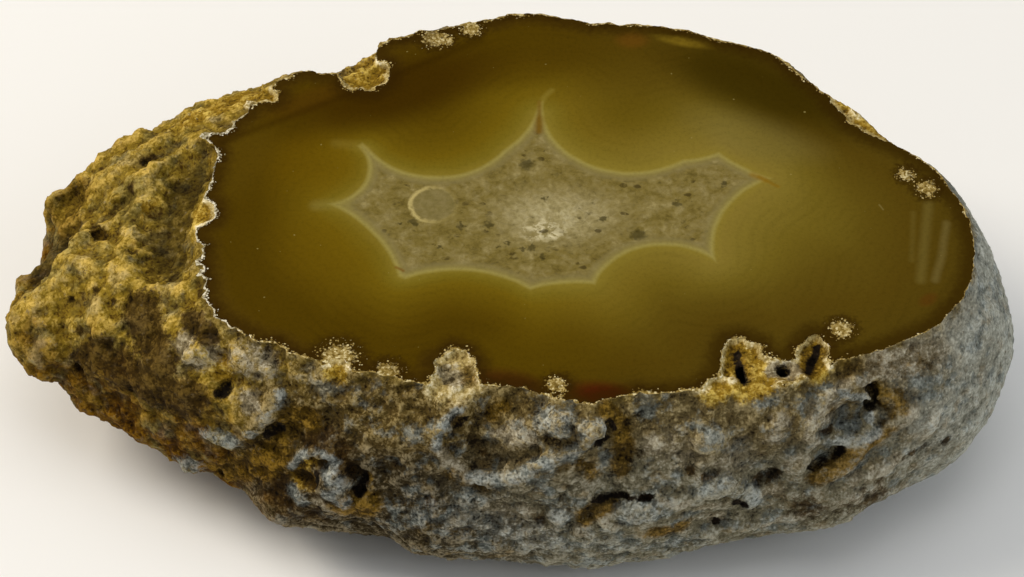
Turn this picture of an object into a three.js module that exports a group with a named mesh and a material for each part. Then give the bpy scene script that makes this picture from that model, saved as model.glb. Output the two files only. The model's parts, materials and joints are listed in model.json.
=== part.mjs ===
// A thick slice of an agate nodule. The top is sawn flat and polished, the underside is sawn flat
// and left plain, and the sides are the nodule's own rough skin. It is one piece of stone.
//
// Frame: millimetres, +Z up, +X along the length. The origin is at the middle of the underside.

import * as THREE from "three";

// ---- Driving sizes ----

const THICKNESS = 29; // underside to polished face
const COLUMNS = 128; // facets round the stone
const SHOULDER_ROWS = 13; // rows of facets from the polished edge to the widest line
const UNDERCUT_ROWS = 12; // rows of facets from the widest line to the sawn underside

// Edge of the polished face: [direction in degrees, reach in mm] from the middle of the face.
const POLISHED_EDGE = [
  [-174, 41.6], [-163, 42.6], [-155, 42.2], [-146, 38.6], [-136, 34.9], [-122, 30.9], [-106, 28.5],
  [-90, 28.7], [-75, 29.2], [-60, 31.2], [-46, 34.8], [-34, 38.6], [-25, 43.2], [-15, 44.4],
  [-3, 42.0], [8, 38.9], [18, 34.8], [30, 32.0], [45, 31.2], [60, 29.0], [75, 28.0], [90, 28.2],
  [105, 29.6], [118, 30.4], [131, 33.0], [142, 34.4], [151, 38.0], [161, 40.6], [172, 42.6],
];

// How far the skin stands out past the polished edge at its widest line: [direction, mm].
const SWELL = [
  [-178, 20.5], [-168, 18.5], [-153, 8.5], [-135, 7], [-115, 6.8], [-90, 5.5], [-60, 5.5], [-40, 6],
  [-20, 5], [0, 4.2], [20, 3.6], [45, 4], [90, 4], [120, 4], [140, 4.5], [155, 10.5], [168, 17],
];

// How far the widest line lies below the polished face: [direction, mm].
const WIDEST_DROP = [
  [-178, 14], [-150, 15], [-110, 17], [-70, 17], [-30, 16], [0, 15], [45, 14], [90, 14], [135, 13],
];

// How far the sawn underside stops short of the widest line: [direction, mm].
const TUCK = [
  [-178, 19], [-150, 12], [-130, 8], [-110, 7], [-70, 8], [-30, 11], [0, 11], [45, 9], [90, 9],
  [135, 14],
];

const SHOULDER_START = 35; // degrees, slope of the skin where it leaves the polished face
const UNDERCUT_END = 72; // degrees, how far round the skin has turned at the underside

// Knobs (height above 0) and hollows (height below 0) of the skin:
// [direction in degrees, drop below the polished face, spread, height], all but the first in mm.
const RELIEF = [
  // left end: the big lobe with its hollows, and the shoulder above it
  [-175, 11, 7, 2.8], [171, 8, 3, 0.9], [178, 5.5, 3.4, -2.0], [-169, 11, 3, -1.2], [-161, 13, 3, -2.2],
  [-153, 8, 4, 1.0], [-157, 3, 3, 1.0], [-149, 5, 2, -1.3], [-146, 7, 3, 1.1], [-142, 8, 2.2, -1.5],
  // front left: the swirled knob and the low knob under it
  [-152, 14, 4, -0.8], [-146, 15.5, 2.4, -1.0], [-137, 12.5, 2.4, -1.3], [-132, 12, 4.5, 2.0],
  [-128, 11.5, 1.8, -1.8], [-139, 19, 4.5, 3.8], [-131, 21, 3, -1.6],
  // front middle: a ring of ridges round a hollow
  [-118, 3.5, 2.6, 1.1], [-110, 6, 3.4, -1.5], [-103, 9, 3, 1.1], [-95, 7, 3, 1.2], [-96, 1.6, 2, 1.1],
  [-88, 2.3, 2.2, 1.4], [-84, 5, 2, -1.3], [-84, 11, 2.4, -1.3], [-79, 13.5, 3.6, 1.4],
  // front right: a deep pocket with a slot below it, then a ledge
  [-50, 3.5, 2.6, 1.1], [-45, 6, 2.8, -1.5], [-42.5, 4, 1.6, 1.2], [-39, 5, 2.4, -2.2],
  [-43, 8, 2, 0.9], [-49, 9, 1.8, -1.5], [-58, 11, 2.4, -1.2], [-65, 11, 3, 1.1], [-67, 16.5, 2, -1.0],
  [-48, 18, 4.5, 1.3],
  // right end and back
  [-22, 8, 4, -0.8], [-8, 13, 5, 1.2], [12, 8, 5, 1.2], [30, 11, 4, -1.4], [44, 7, 4, 1.5],
  [62, 13, 5, 1.3], [78, 7, 3.4, -1.5], [92, 10, 4.5, 1.5], [108, 14, 4, -1.4], [118, 7, 4, 1.4],
  [136, 12, 5, 1.7], [150, 7, 3, -1.4], [158, 15, 5, 1.5],
];

// ---- Helpers ----

const radians = (degrees) => (degrees * Math.PI) / 180;

// Smooth closed curve through [direction, value] pairs, read at a direction in degrees.
function roundTrip(pairs, direction) {
  const count = pairs.length;
  const turn = (value) => ((value % 360) + 360) % 360;
  const sorted = pairs.map(([a, v]) => [turn(a), v]).sort((p, q) => p[0] - q[0]);
  const at = (index) => {
    const laps = Math.floor(index / count);
    const [a, v] = sorted[index - laps * count];
    return [a + 360 * laps, v];
  };
  const here = turn(direction);
  let index = -1;
  while (index + 1 < count && sorted[index + 1][0] <= here) index += 1;
  const [p0, p1, p2, p3] = [index - 1, index, index + 1, index + 2].map(at);
  const slope = (p, q) => (q[1] - p[1]) / (q[0] - p[0]);
  const span = p2[0] - p1[0];
  const t = (here - p1[0]) / span;
  const m1 = slope(p0, p2) * span;
  const m2 = slope(p1, p3) * span;
  return (
    (2 * t ** 3 - 3 * t ** 2 + 1) * p1[1] +
    (t ** 3 - 2 * t ** 2 + t) * m1 +
    (3 * t ** 2 - 2 * t ** 3) * p2[1] +
    (t ** 3 - t ** 2) * m2
  );
}

// A repeatable number from 0 to 1 for a whole-numbered lattice point.
function latticeValue(x, y, z) {
  const mixed = Math.sin(x * 127.1 + y * 311.7 + z * 74.7) * 43758.5453;
  return mixed - Math.floor(mixed);
}

// Smooth noise from -1 to 1.
function noise(x, y, z) {
  const [ix, iy, iz] = [x, y, z].map(Math.floor);
  const ease = (t) => t * t * (3 - 2 * t);
  const [fx, fy, fz] = [ease(x - ix), ease(y - iy), ease(z - iz)];
  let sum = 0;
  for (let corner = 0; corner < 8; corner += 1) {
    const [cx, cy, cz] = [corner & 1, (corner >> 1) & 1, corner >> 2];
    const share = (cx ? fx : 1 - fx) * (cy ? fy : 1 - fy) * (cz ? fz : 1 - fz);
    sum += share * latticeValue(ix + cx, iy + cy, iz + cz);
  }
  return 2 * sum - 1;
}

// ---- The skin ----

// The skin's smooth form before its relief: a point and its outward direction in the vertical plane.
// along runs from 0 at the polished edge, through 1 at the widest line, to 2 at the underside.
function smoothSkin(direction, along) {
  const edge = roundTrip(POLISHED_EDGE, direction);
  const swell = roundTrip(SWELL, direction);
  const drop = roundTrip(WIDEST_DROP, direction);
  const tuck = roundTrip(TUCK, direction);
  if (along <= 1) {
    const start = radians(SHOULDER_START);
    const turn = start + (Math.PI / 2 - start) * along;
    const reach = edge + (swell * (Math.sin(turn) - Math.sin(start))) / (1 - Math.sin(start));
    const fall = (drop * (Math.cos(start) - Math.cos(turn))) / Math.cos(start);
    return { reach, fall };
  }
  const end = radians(UNDERCUT_END);
  const turn = end * (along - 1);
  const reach = edge + swell - (tuck * (1 - Math.cos(turn))) / (1 - Math.cos(end));
  const fall = drop + ((THICKNESS - drop) * Math.sin(turn)) / Math.sin(end);
  return { reach, fall };
}

// Height of the relief at a point of the smooth skin, in mm.
function reliefAt(direction, fall, point) {
  let height = 0.9 * noise(point.x / 9, point.y / 9, point.z / 9);
  height += 0.5 * noise(point.x / 4.5 + 20, point.y / 4.5, point.z / 4.5);
  for (const [featureDirection, featureDrop, spread, rise] of RELIEF) {
    const turned = Math.abs(((direction - featureDirection + 540) % 360) - 180);
    const sideways = radians(turned) * Math.hypot(point.x, point.y);
    const distance = Math.hypot(sideways, fall - featureDrop) / spread;
    height += rise * Math.exp(-distance * distance);
  }
  return height;
}

function skinPoint(direction, along) {
  const { reach, fall } = smoothSkin(direction, along);
  const step = 0.02;
  const before = smoothSkin(direction, Math.max(0, along - step));
  const after = smoothSkin(direction, Math.min(2, along + step));
  const slope = Math.atan2(after.fall - before.fall, after.reach - before.reach);
  const angle = radians(direction);
  const point = new THREE.Vector3(
    reach * Math.cos(angle),
    reach * Math.sin(angle),
    THICKNESS - fall,
  );
  const height = reliefAt(direction, fall, point);
  const sawn = along === 0 || along === 2; // on a cut edge the relief only moves sideways
  const outward = sawn ? 1 : Math.sin(slope);
  const upward = sawn ? 0 : Math.cos(slope);
  point.x += height * outward * Math.cos(angle);
  point.y += height * outward * Math.sin(angle);
  point.z += height * upward;
  point.z = Math.min(Math.max(point.z, sawn ? 0 : 0.15), sawn ? THICKNESS : THICKNESS - 0.15);
  return point;
}

function stoneGeometry() {
  const rows = SHOULDER_ROWS + UNDERCUT_ROWS;
  const positions = [];
  for (let row = 0; row <= rows; row += 1) {
    const along = row <= SHOULDER_ROWS ? row / SHOULDER_ROWS : 1 + (row - SHOULDER_ROWS) / UNDERCUT_ROWS;
    for (let column = 0; column < COLUMNS; column += 1)
      positions.push(...skinPoint((360 * column) / COLUMNS - 180, along).toArray());
  }
  const top = positions.push(0, 0, THICKNESS) / 3 - 1;
  const bottom = positions.push(0, 0, 0) / 3 - 1;
  const indices = [];
  const at = (row, column) => row * COLUMNS + (column % COLUMNS);
  for (let column = 0; column < COLUMNS; column += 1) {
    indices.push(top, at(0, column), at(0, column + 1));
    indices.push(bottom, at(rows, column + 1), at(rows, column));
    for (let row = 0; row < rows; row += 1) {
      const [a, b] = [at(row, column), at(row, column + 1)];
      const [c, d] = [at(row + 1, column), at(row + 1, column + 1)];
      indices.push(a, c, b, b, c, d);
    }
  }
  const geometry = new THREE.BufferGeometry();
  geometry.setAttribute("position", new THREE.Float32BufferAttribute(positions, 3));
  geometry.setIndex(indices);
  geometry.computeBoundingBox();
  const middle = geometry.boundingBox.getCenter(new THREE.Vector3());
  geometry.translate(-middle.x, -middle.y, 0);
  geometry.computeVertexNormals();
  return geometry;
}

// ---- The part ----

const agateMaterial = new THREE.MeshStandardMaterial({ color: 0x5f4f12, roughness: 0.35, metalness: 0 });

const agateSlice = new THREE.Mesh(stoneGeometry(), agateMaterial);
agateSlice.name = "agate_slice";

const part = new THREE.Group();
part.add(agateSlice);

export default part;
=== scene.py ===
"""An agate slice: a thick cut from a nodule, polished on its top face and sawn plain underneath,
with the nodule's own rough skin round its sides.

+Z is up, +X runs along the length, and the origin is at the middle of the underside. The sizes
below are in millimetres, as a lapidary would give them, and MM turns them into metres. A place on
the skin is given by its direction round the polished face, in degrees from +X, and by its drop
below that face.
"""

import json
import logging
import math
from dataclasses import dataclass, field
from enum import Enum
from functools import cached_property, reduce
from typing import Sequence

import bpy
import numpy as np
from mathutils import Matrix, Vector
from mathutils.bvhtree import BVHTree
from mathutils.kdtree import KDTree

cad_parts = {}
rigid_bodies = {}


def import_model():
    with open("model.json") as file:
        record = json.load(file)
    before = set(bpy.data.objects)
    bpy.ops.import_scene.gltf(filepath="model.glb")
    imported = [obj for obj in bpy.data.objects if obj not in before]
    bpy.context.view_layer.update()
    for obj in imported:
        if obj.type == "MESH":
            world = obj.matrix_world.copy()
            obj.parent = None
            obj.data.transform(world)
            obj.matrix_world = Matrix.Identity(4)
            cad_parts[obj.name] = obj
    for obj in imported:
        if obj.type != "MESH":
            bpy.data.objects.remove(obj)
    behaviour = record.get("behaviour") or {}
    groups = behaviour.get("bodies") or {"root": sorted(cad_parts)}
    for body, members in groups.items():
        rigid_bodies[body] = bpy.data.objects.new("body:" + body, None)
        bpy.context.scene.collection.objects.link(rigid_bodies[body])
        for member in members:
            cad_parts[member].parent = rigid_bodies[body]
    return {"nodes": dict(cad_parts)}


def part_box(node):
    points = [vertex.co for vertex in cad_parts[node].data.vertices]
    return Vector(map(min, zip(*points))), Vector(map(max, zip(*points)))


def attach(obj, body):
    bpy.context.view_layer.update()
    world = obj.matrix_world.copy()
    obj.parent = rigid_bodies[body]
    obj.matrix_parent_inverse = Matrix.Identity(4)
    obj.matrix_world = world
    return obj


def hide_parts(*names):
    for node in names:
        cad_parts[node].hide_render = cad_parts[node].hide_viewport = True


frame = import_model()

Stop = tuple[float, float]  # a direction and a drop on the skin, or x and y on the polished face
Pair = tuple[float, float]
Shares = tuple[Pair, ...]  # directions round the stone, each with a share from 0 to 1
Place = tuple[float, float, float]  # x, y and z, or a factor for each
Bead = tuple[Vector, float]  # a ball's place in metres and its radius in millimetres

LOG = logging.getLogger("agate_slice")
MM = 0.001  # metres
HALF_TURN = 180.0
NODE = "agate_slice"
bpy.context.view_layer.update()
FACE_CENTRE = (8.0, 0.83)  # what the directions, and the places on the face, are measured from
RAY_START = 0.2  # metres from the face's centre, well clear of the stone
WELD = 1e-6  # metres within which two corners, or two levels, are one
AT_CUT = 1e-5  # metres within which a facet of the CAD stone lies on a cut
NEARLY_LEVEL = 0.99  # the least upward share of the normal of such a facet
LEVEL = 0.999  # and of a face that the saw has left
BEAD_REACH = 1.5  # how much wider a soft bead is set than the ball that it makes
BEAD_GAP = 0.5  # the way from one bead of a run to the next, in radii
HOLLOW_ROUNDS = 12  # rounds of averaging that give a vertex its surroundings
NOT_ZERO = 0.01  # keeps a division by a distance from failing where that is 0
STONE_IOR = 1.54  # how strongly quartz bends light
CRUST_TONES = (0.2, 0.5, 0.8)  # the tones of a crust's crevices, ground and crests
LIP_REACH = 4.0  # how far from the polished face's edge the lip is measured
FACE_MARGIN = 1.2  # the strip below the polished face in which relief isn't measured
SLOT_REACH = 1.6  # how far the painted shade of a slot reaches round it, in the slot's radii
HEART_SPAN = (-32.0, 25.0)  # a span in x and in y that holds the whole heart
HEART_GRID = 0.4  # the spacing of the places that stand for the heart
MAP_NAME = "OFBake"  # the map that the finishes can be baked on
MAP_SPAN = 175.0  # the width of stone that fills the map
MAP_ROUND = (-200.0, 201.0, 4.0)  # the directions at which the skin's length is measured: from, to, step
MAP_GAP = 1.5  # what is left free between the parts of the map


class Zone(Enum):
    """The three kinds of surface on the slice. The value is the material's index."""

    POLISHED = 0
    SKIN = 1
    SAWN = 2


class Tint(Enum):
    """What colours the skin in places. The value names the measure that holds it. One of them is painted
    shade, near black in and round the pits and slots.
    """

    FROST = "frost"
    HOLE_SHADE = "soot"
    OCHRE = "ochre"
    # painted shade: near black in and round the pits and slots
    GOLD = "gold"
    UMBER = "umber"
    ASH = "ash"


FROST, HOLE_SHADE, OCHRE, GOLD, UMBER, ASH = Tint


@dataclass(frozen=True)
class Lobe:
    """A round lobe of banded agate that bulges into the quartz heart, measured from the face's centre."""

    x: float
    y: float
    radius: float


@dataclass(frozen=True)
class Heart:
    """The outline of the quartz heart: what the lobes leave of an oval."""

    oval: Lobe = Lobe(-3.7, 0.0, 25.5)
    oval_squash: float = 0.575
    lobes: tuple[Lobe, ...] = (
        Lobe(-27.5, 12.6, 4.9), Lobe(-16.6, 12.5, 9.3), Lobe(-16.5, 16.2, 11.75),
        Lobe(5.3, 14.0, 10.15), Lobe(10.6, 15.7, 10.0), Lobe(29.2, 21.1, 20.0), Lobe(25.7, -7.3, 11.7),
        Lobe(8.7, -15.0, 8.4), Lobe(-1.2, -25.0, 13.0), Lobe(-14.3, -23.9, 13.7),
        Lobe(-37.4, -15.6, 17.6), Lobe(-29.7, 4.6, 5.6),
    )

    def depth(self, x: np.ndarray, y: np.ndarray) -> np.ndarray:
        """How far inside the heart's edge each place lies, in millimetres, and less than 0 outside it.

        Args:
            x: places along the length, from the face's centre.
            y: places across it.

        Returns:
            One depth for each place.
        """
        clear = [np.hypot(x - lobe.x, y - lobe.y) - lobe.radius for lobe in self.lobes]
        within = self.oval.radius - np.hypot(x - self.oval.x, (y - self.oval.y) / self.oval_squash)
        return np.minimum(np.min(clear, axis=0), within * self.oval_squash)


@dataclass(frozen=True)
class Vein:
    """A knob, a ridge, a pit or a stain on the skin: a run of rounded beads from stop to stop.

    Each stop is a direction and a drop. The lift is how far the beads stand out from the skin, and
    the tint colours what lies near them, as far as the reach, in radii.
    """

    stops: tuple[Stop, ...]
    radius: float
    lift: float = 0.0
    tint: Tint | None = None
    reach: float = 1.5


@dataclass(frozen=True)
class Groove:
    """A hollow in the polished face: a run of round dishes from stop to stop.

    Each stop is measured from the face's centre, and the radius is the dish's own at the face. The
    tint colours what lies within the radius and the reach of the stops, in millimetres.
    """

    stops: tuple[Stop, ...]
    radius: float
    depth: float
    tint: Tint = GOLD
    reach: float = 1.2


@dataclass(frozen=True)
class Relief:
    """A pattern that roughens the skin.

    The size is its grain and the height the most that it moves the skin, both in millimetres. The
    shares say how strong it is by direction round the stone, and the middle is the pattern's own
    mean, which leaves the skin where it is.
    """

    name: str
    kind: str
    size: float
    height: float
    shares: Shares
    middle: float = 0.5
    settings: dict[str, object] = field(default_factory=dict)


def dots(tint: Tint | None, reach: float, *rows: tuple[float, float, float, float]) -> tuple[Vein, ...]:
    """Single beads of one tint and reach, each a row of its direction, drop, radius and lift."""
    return tuple(Vein((row[:2],), *row[2:], tint, reach) for row in rows)


BACK_FIRST = (16.0, 3.5)  # the corner of the back where its veins begin
BACK_LAST = (162.0, 25.0)  # and the corner where they end
BACK_RUN = 2.0  # how far a vein of the back runs at the most
BACK_DROP = 3.0  # how near the face it comes


def scattered(count: int, radii: Pair, lift: float, tints: Sequence[Tint | None],
              seed: int) -> tuple[Vein, ...]:
    """Scatters short veins over the back, which has no marked features of its own.

    Args:
        count: how many.
        radii: the smallest and the largest radius.
        lift: how far their beads stand out from the skin, in radii.
        tints: the tints, taken in turn.
        seed: starts the draw of numbers.

    Returns:
        The veins.
    """
    draw = np.random.default_rng(seed)
    veins = []
    for index in range(count):
        start = draw.uniform(BACK_FIRST, BACK_LAST)
        end = start + draw.uniform(-BACK_RUN, BACK_RUN, 2)
        radius = draw.uniform(*radii)
        stops = tuple((float(direction), float(max(drop, BACK_DROP))) for direction, drop in (start, end))
        veins.append(Vein(stops, radius, lift * radius, tints[index % len(tints)]))
    return tuple(veins)


HEART = Heart()
# How rough the skin is by direction: the front and the left end are the roughest.
LIVELY = ((-180, 1.0), (-140, 1.0), (-110, 0.7), (-60, 0.55), (-30, 0.3), (45, 0.3), (100, 0.6), (180, 1.0))
EVEN = ((-180, 1.0), (-120, 1.0), (-50, 0.8), (-20, 0.5), (60, 0.5), (120, 0.9), (180, 1.0))
LUMPS = (
    Relief("swells", "CLOUDS", 8.0, 1.2, LIVELY, 0.5, {"noise_depth": 1}),
    Relief("folds", "CLOUDS", 3.2, -1.4, LIVELY, 0.3, {"noise_type": "HARD_NOISE", "noise_depth": 2}),
)
GRAINS = (
    Relief("beads", "VORONOI", 1.25, -0.5, EVEN, 0.52),
    Relief("grit", "CLOUDS", 0.7, 0.6, EVEN, 0.5, {"noise_depth": 2}),
)
CRUMPLE = Relief("crumple", "CLOUDS", 1.1, 0.9, EVEN, 0.5, {"noise_depth": 1})
RAGGED = Relief("ragged", "CLOUDS", 0.9, 1.5, EVEN, 0.5, {"noise_depth": 2})
NIBBLED = Relief("nibbled", "CLOUDS", 0.7, 0.5, EVEN, 0.5, {"noise_depth": 1})

# Knobs: the left end, the swirl at the front left, the ring at the front, what lies below it, and
# the broken facet at the front right.
LEFT_KNOBS = (
    Vein(((-156.8, 2.6), (-154.6, 3.0), (-154.1, 2.4)), 1.6, -0.7, ASH),
    Vein(((-150.4, 2.2), (-148.0, 2.3)), 1.9, -0.8, ASH),
    Vein(((-144.8, 9.1), (-144.1, 6.9), (-143.5, 4.2)), 0.85, 0.15, FROST, 1.4),
    Vein(((-149.8, 11.6), (-146.8, 11.2)), 1.1, -0.1, FROST),
    Vein(((-146.4, 5.4),), 1.5, -0.5, ASH),
    Vein(((173.3, 9.1), (175.6, 9.4)), 3.4, -1.7),
    Vein(((168.6, 0.6), (167.0, 0.6)), 1.9, -0.6),
    Vein(((-154.2, 20.1), (-153.0, 19.0)), 1.5, -0.3, FROST),
    Vein(((-172.0, 10.5), (-169.5, 13.0)), 4.0, -1.0),
    Vein(((-175.6, 5.5), (-178.3, 5.0), (179.2, 4.8)), 1.3, -0.4, GOLD, 1.1),
    Vein(((179.4, 3.3), (177.8, 2.2)), 1.0, -0.3, GOLD, 1.1),
    Vein(((-172.4, 7.9), (-173.2, 5.7), (-174.7, 4.6)), 1.7, -0.7),
    Vein(((-174.7, 4.6), (-172.6, 3.8)), 1.5, -0.5, GOLD, 1.1),
    Vein(((172.5, 5.0), (169.9, 3.7), (166.3, 3.0)), 1.2, -0.4, GOLD, 1.0),
    Vein(((175.8, 5.5), (174.1, 2.6), (170.9, 1.9)), 1.1, -0.35),
    Vein(((171.0, 8.0), (168.0, 6.6), (164.6, 5.2)), 1.6, -0.5),
    Vein(((-168.0, 5.0), (-165.6, 6.4)), 1.6, -0.7),
    Vein(((-165.5, 18.0),), 3.0, -1.8),
)

SWIRL_KNOBS = (
    Vein(((-138.6, 12.0), (-137.4, 9.7), (-135.7, 8.6), (-133.6, 8.4), (-132.0, 8.7)),
         0.51, 0.05, FROST),
    Vein(((-132.2, 10.0), (-131.3, 11.3), (-131.7, 12.9), (-130.1, 14.0)), 1.02, -0.1, FROST),
    Vein(((-127.9, 10.7), (-127.4, 12.2), (-127.7, 13.2)), 0.5, 0.2, OCHRE),
    Vein(((-133.2, 14.6), (-131.4, 15.5), (-129.3, 15.4)), 0.77, -0.2, ASH),
    Vein(((-137.3, 14.8), (-135.6, 15.3)), 0.94, -0.3, FROST),
    Vein(((-128.0, 14.6), (-126.9, 13.7)), 1.1, -0.2, OCHRE),
)

RING_KNOBS = (
    Vein(((-117.9, 5.2), (-118.0, 3.6), (-117.4, 2.4), (-115.8, 1.9)), 0.59, 0.1, FROST),
    Vein(((-117.9, 5.2), (-115.6, 7.6), (-111.5, 9.2)), 0.68, -0.1, ASH),
    Vein(((-111.5, 9.2), (-107.5, 9.1), (-103.3, 8.0), (-99.2, 6.0), (-93.7, 4.8), (-89.4, 2.9)),
         0.81, 0.1, FROST),
    Vein(((-108.7, 4.7), (-103.6, 3.4), (-98.9, 2.2), (-94.0, 2.0)), 0.68, -0.1, ASH),
    Vein(((-105.0, 4.6), (-101.0, 3.9)), 1.4, -0.4, ASH),
    Vein(((-98.1, 1.9), (-94.9, 1.9)), 1.5, 0.0, FROST),
    Vein(((-90.3, 2.0), (-88.4, 1.9)), 1.15, 0.35, FROST),
)

LOWER_KNOBS = (
    Vein(((-82.5, 12.7), (-79.0, 11.9)), 1.5, -0.2, FROST),
    Vein(((-76.9, 11.1), (-73.2, 12.0), (-69.5, 11.8)), 0.68, -0.2, ASH),
    Vein(((-87.0, 13.3), (-85.4, 14.5)), 1.02, -0.3, ASH),
    Vein(((-69.3, 13.8), (-62.1, 13.7), (-55.3, 13.4)), 0.59, -0.3, ASH),
    Vein(((-58.2, 19.1), (-52.9, 17.1), (-47.5, 15.4), (-41.1, 15.5)), 0.68, -0.3, ASH),
    Vein(((-70.7, 18.7), (-63.5, 18.9), (-56.9, 18.4)), 0.7, -0.2),
    Vein(((-67.5, 5.3), (-64.7, 4.9)), 1.8, -0.9),
    Vein(((-69.4, 10.3), (-65.6, 9.9), (-62.1, 11.7)), 1.4, -0.5, FROST, 1.4),
    *dots(ASH, 1.5, (-112.8, 14.8, 1.3, -0.4), (-108.7, 15.8, 1.2, -0.4), (-101.4, 13.3, 1.1, -0.4)),
    Vein(((-94.9, 13.5),), 1.4, -0.5, FROST),
    *dots(ASH, 1.5, (-90.8, 15.7, 1.1, -0.3), (-77.1, 4.9, 1.2, -0.4)),
    Vein(((-65.8, 4.0),), 1.2, -0.4, FROST),
    Vein(((-65.9, 16.5),), 1.2, -0.4, ASH),
    Vein(((-60.3, 12.5), (-60.0, 14.4)), 1.0, -0.1, FROST, 1.6),
    Vein(((-66.0, 10.8),), 1.1, -0.3, FROST, 1.6),
    Vein(((-45.0, 12.8),), 1.0, -0.2, ASH, 1.6),
    Vein(((-33.4, 11.0), (-32.0, 9.4)), 1.2, -0.6, ASH),
    Vein(((-55.6, 5.2), (-54.2, 3.4)), 1.3, -0.6, ASH),
)

FACET_KNOBS = (
    Vein(((-47.7, 3.4), (-45.4, 2.4), (-42.7, 2.2), (-40.1, 2.2), (-38.2, 2.6)), 0.65, 0.35, ASH),
    Vein(((-43.0, 2.6), (-41.4, 3.4), (-39.4, 4.4), (-39.0, 5.4), (-40.2, 6.9)),
         0.55, 0.5, FROST, 1.6),
    Vein(((-49.6, 4.2), (-50.4, 5.6), (-49.4, 7.2)), 0.8, 0.1, ASH, 1.6),
    Vein(((-47.2, 4.4), (-45.9, 5.0)), 1.0, 0.0, ASH, 1.4),
    Vein(((-46.8, 8.1), (-44.7, 8.1), (-42.4, 8.0), (-40.4, 7.9)), 0.65, 0.35, FROST, 1.6),
    Vein(((-43.8, 6.2), (-42.4, 6.9)), 0.6, 0.3, FROST, 1.6),
    Vein(((-43.0, 5.0), (-43.9, 6.4)), 0.75, 0.2, FROST, 1.6),
    Vein(((-36.9, 4.2), (-36.5, 5.6)), 0.9, -0.2, OCHRE, 1.8),
    Vein(((-36.0, 5.0), (-35.7, 6.6), (-37.4, 7.6), (-39.4, 8.2), (-41.8, 8.4), (-43.1, 9.1)),
         0.8, 0.1, OCHRE, 1.8),
    Vein(((-37.0, 7.9), (-36.0, 7.8), (-34.9, 7.2)), 0.9, 0.2, ASH, 1.6),
    Vein(((-49.4, 11.7), (-47.4, 11.3), (-45.6, 10.7), (-44.0, 9.8)), 0.9, 0.0, OCHRE),
    Vein(((-53.8, 9.0), (-52.4, 8.4), (-50.9, 8.6), (-51.9, 10.0), (-53.8, 10.4)), 0.5, 0.3, ASH, 1.6),
    Vein(((-42.3, 13.5), (-40.3, 13.2), (-38.7, 12.6)), 1.1, -0.4, ASH),
    Vein(((-47.5, 15.4), (-44.5, 15.6)), 1.1, -0.6, ASH),
    Vein(((-40.6, 17.7), (-37.5, 18.9), (-35.2, 19.6)), 1.02, -0.6, ASH),
)

BACK_KNOBS = scattered(26, (0.8, 2.6), -0.4, (ASH, FROST, OCHRE, ASH, UMBER), 5)
KNOBS = LEFT_KNOBS + SWIRL_KNOBS + RING_KNOBS + LOWER_KNOBS + FACET_KNOBS + BACK_KNOBS

# Pits, and the hollows between the knobs. Some of them carry painted shade, near black, in and round them.
LEFT_PITS = (
    Vein(((-149.9, 5.8), (-150.0, 5.2)), 0.8, 0.2, HOLE_SHADE),
    Vein(((-143.0, 9.0), (-142.1, 8.2)), 0.85, 0.2, HOLE_SHADE, 1.4),
    Vein(((-154.7, 2.6),), 0.75, 0.0, HOLE_SHADE),
    Vein(((-150.4, 19.8), (-150.0, 18.8)), 0.7, 0.1, OCHRE, 2.4),
    Vein(((175.3, 8.3), (173.0, 7.4)), 2.2, 1.2, OCHRE, 1.6),
    Vein(((176.5, 11.0), (179.0, 13.0)), 4.0, 2.0),
    Vein(((-179.4, 6.4), (-177.4, 6.6), (-176.1, 7.8)), 2.6, -0.5),
    Vein(((145.0, 1.2), (141.0, 1.2), (137.5, 1.4)), 2.8, 0.7, GOLD),
    Vein(((177.5, 7.8), (-179.6, 8.2), (-177.4, 8.8)), 2.4, 0.1),
    *dots(OCHRE, 1.5, (179.2, 6.0, 0.8, 0.1), (-177.8, 4.2, 0.7, 0.1)),
    *dots(OCHRE, 1.6, (-179.5, 2.2, 0.8, 0.2), (-175.2, 2.2, 0.7, 0.1)),
    Vein(((-170.0, 11.3), (-170.1, 12.8)), 1.5, 0.7, OCHRE, 1.4),
    *dots(UMBER, 1.5, (-170.5, 6.1, 0.5, 0.1), (-169.7, 4.0, 0.5, 0.1), (-169.5, 2.2, 0.5, 0.1),
          (-166.7, 5.8, 0.6, 0.1), (-167.4, 7.8, 0.6, 0.1), (-168.4, 14.9, 0.6, 0.1)),
    Vein(((172.0, 0.9), (178.0, 0.9), (-176.0, 1.2), (-170.0, 1.2)), 4.0, 1.8),
    Vein(((174.9, 3.2),), 0.8, 0.0, UMBER),
    Vein(((170.6, 3.0), (170.0, 2.9)), 0.7, 0.2, UMBER),
    Vein(((-178.8, 2.2), (-178.2, 2.3)), 0.85, 0.1, OCHRE, 1.6),
    Vein(((-174.6, 2.0), (-174.2, 2.3)), 0.7, 0.0, UMBER, 1.6),
    Vein(((-179.2, 5.2), (-177.9, 4.4)), 0.9, 0.2, UMBER),
    *dots(UMBER, 1.5, (-165.3, 12.1, 1.3, 0.5), (-169.9, 11.8, 1.4, 0.8), (-167.8, 4.0, 0.7, 0.3),
          (-161.9, 4.0, 0.7, 0.3)),
)

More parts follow.
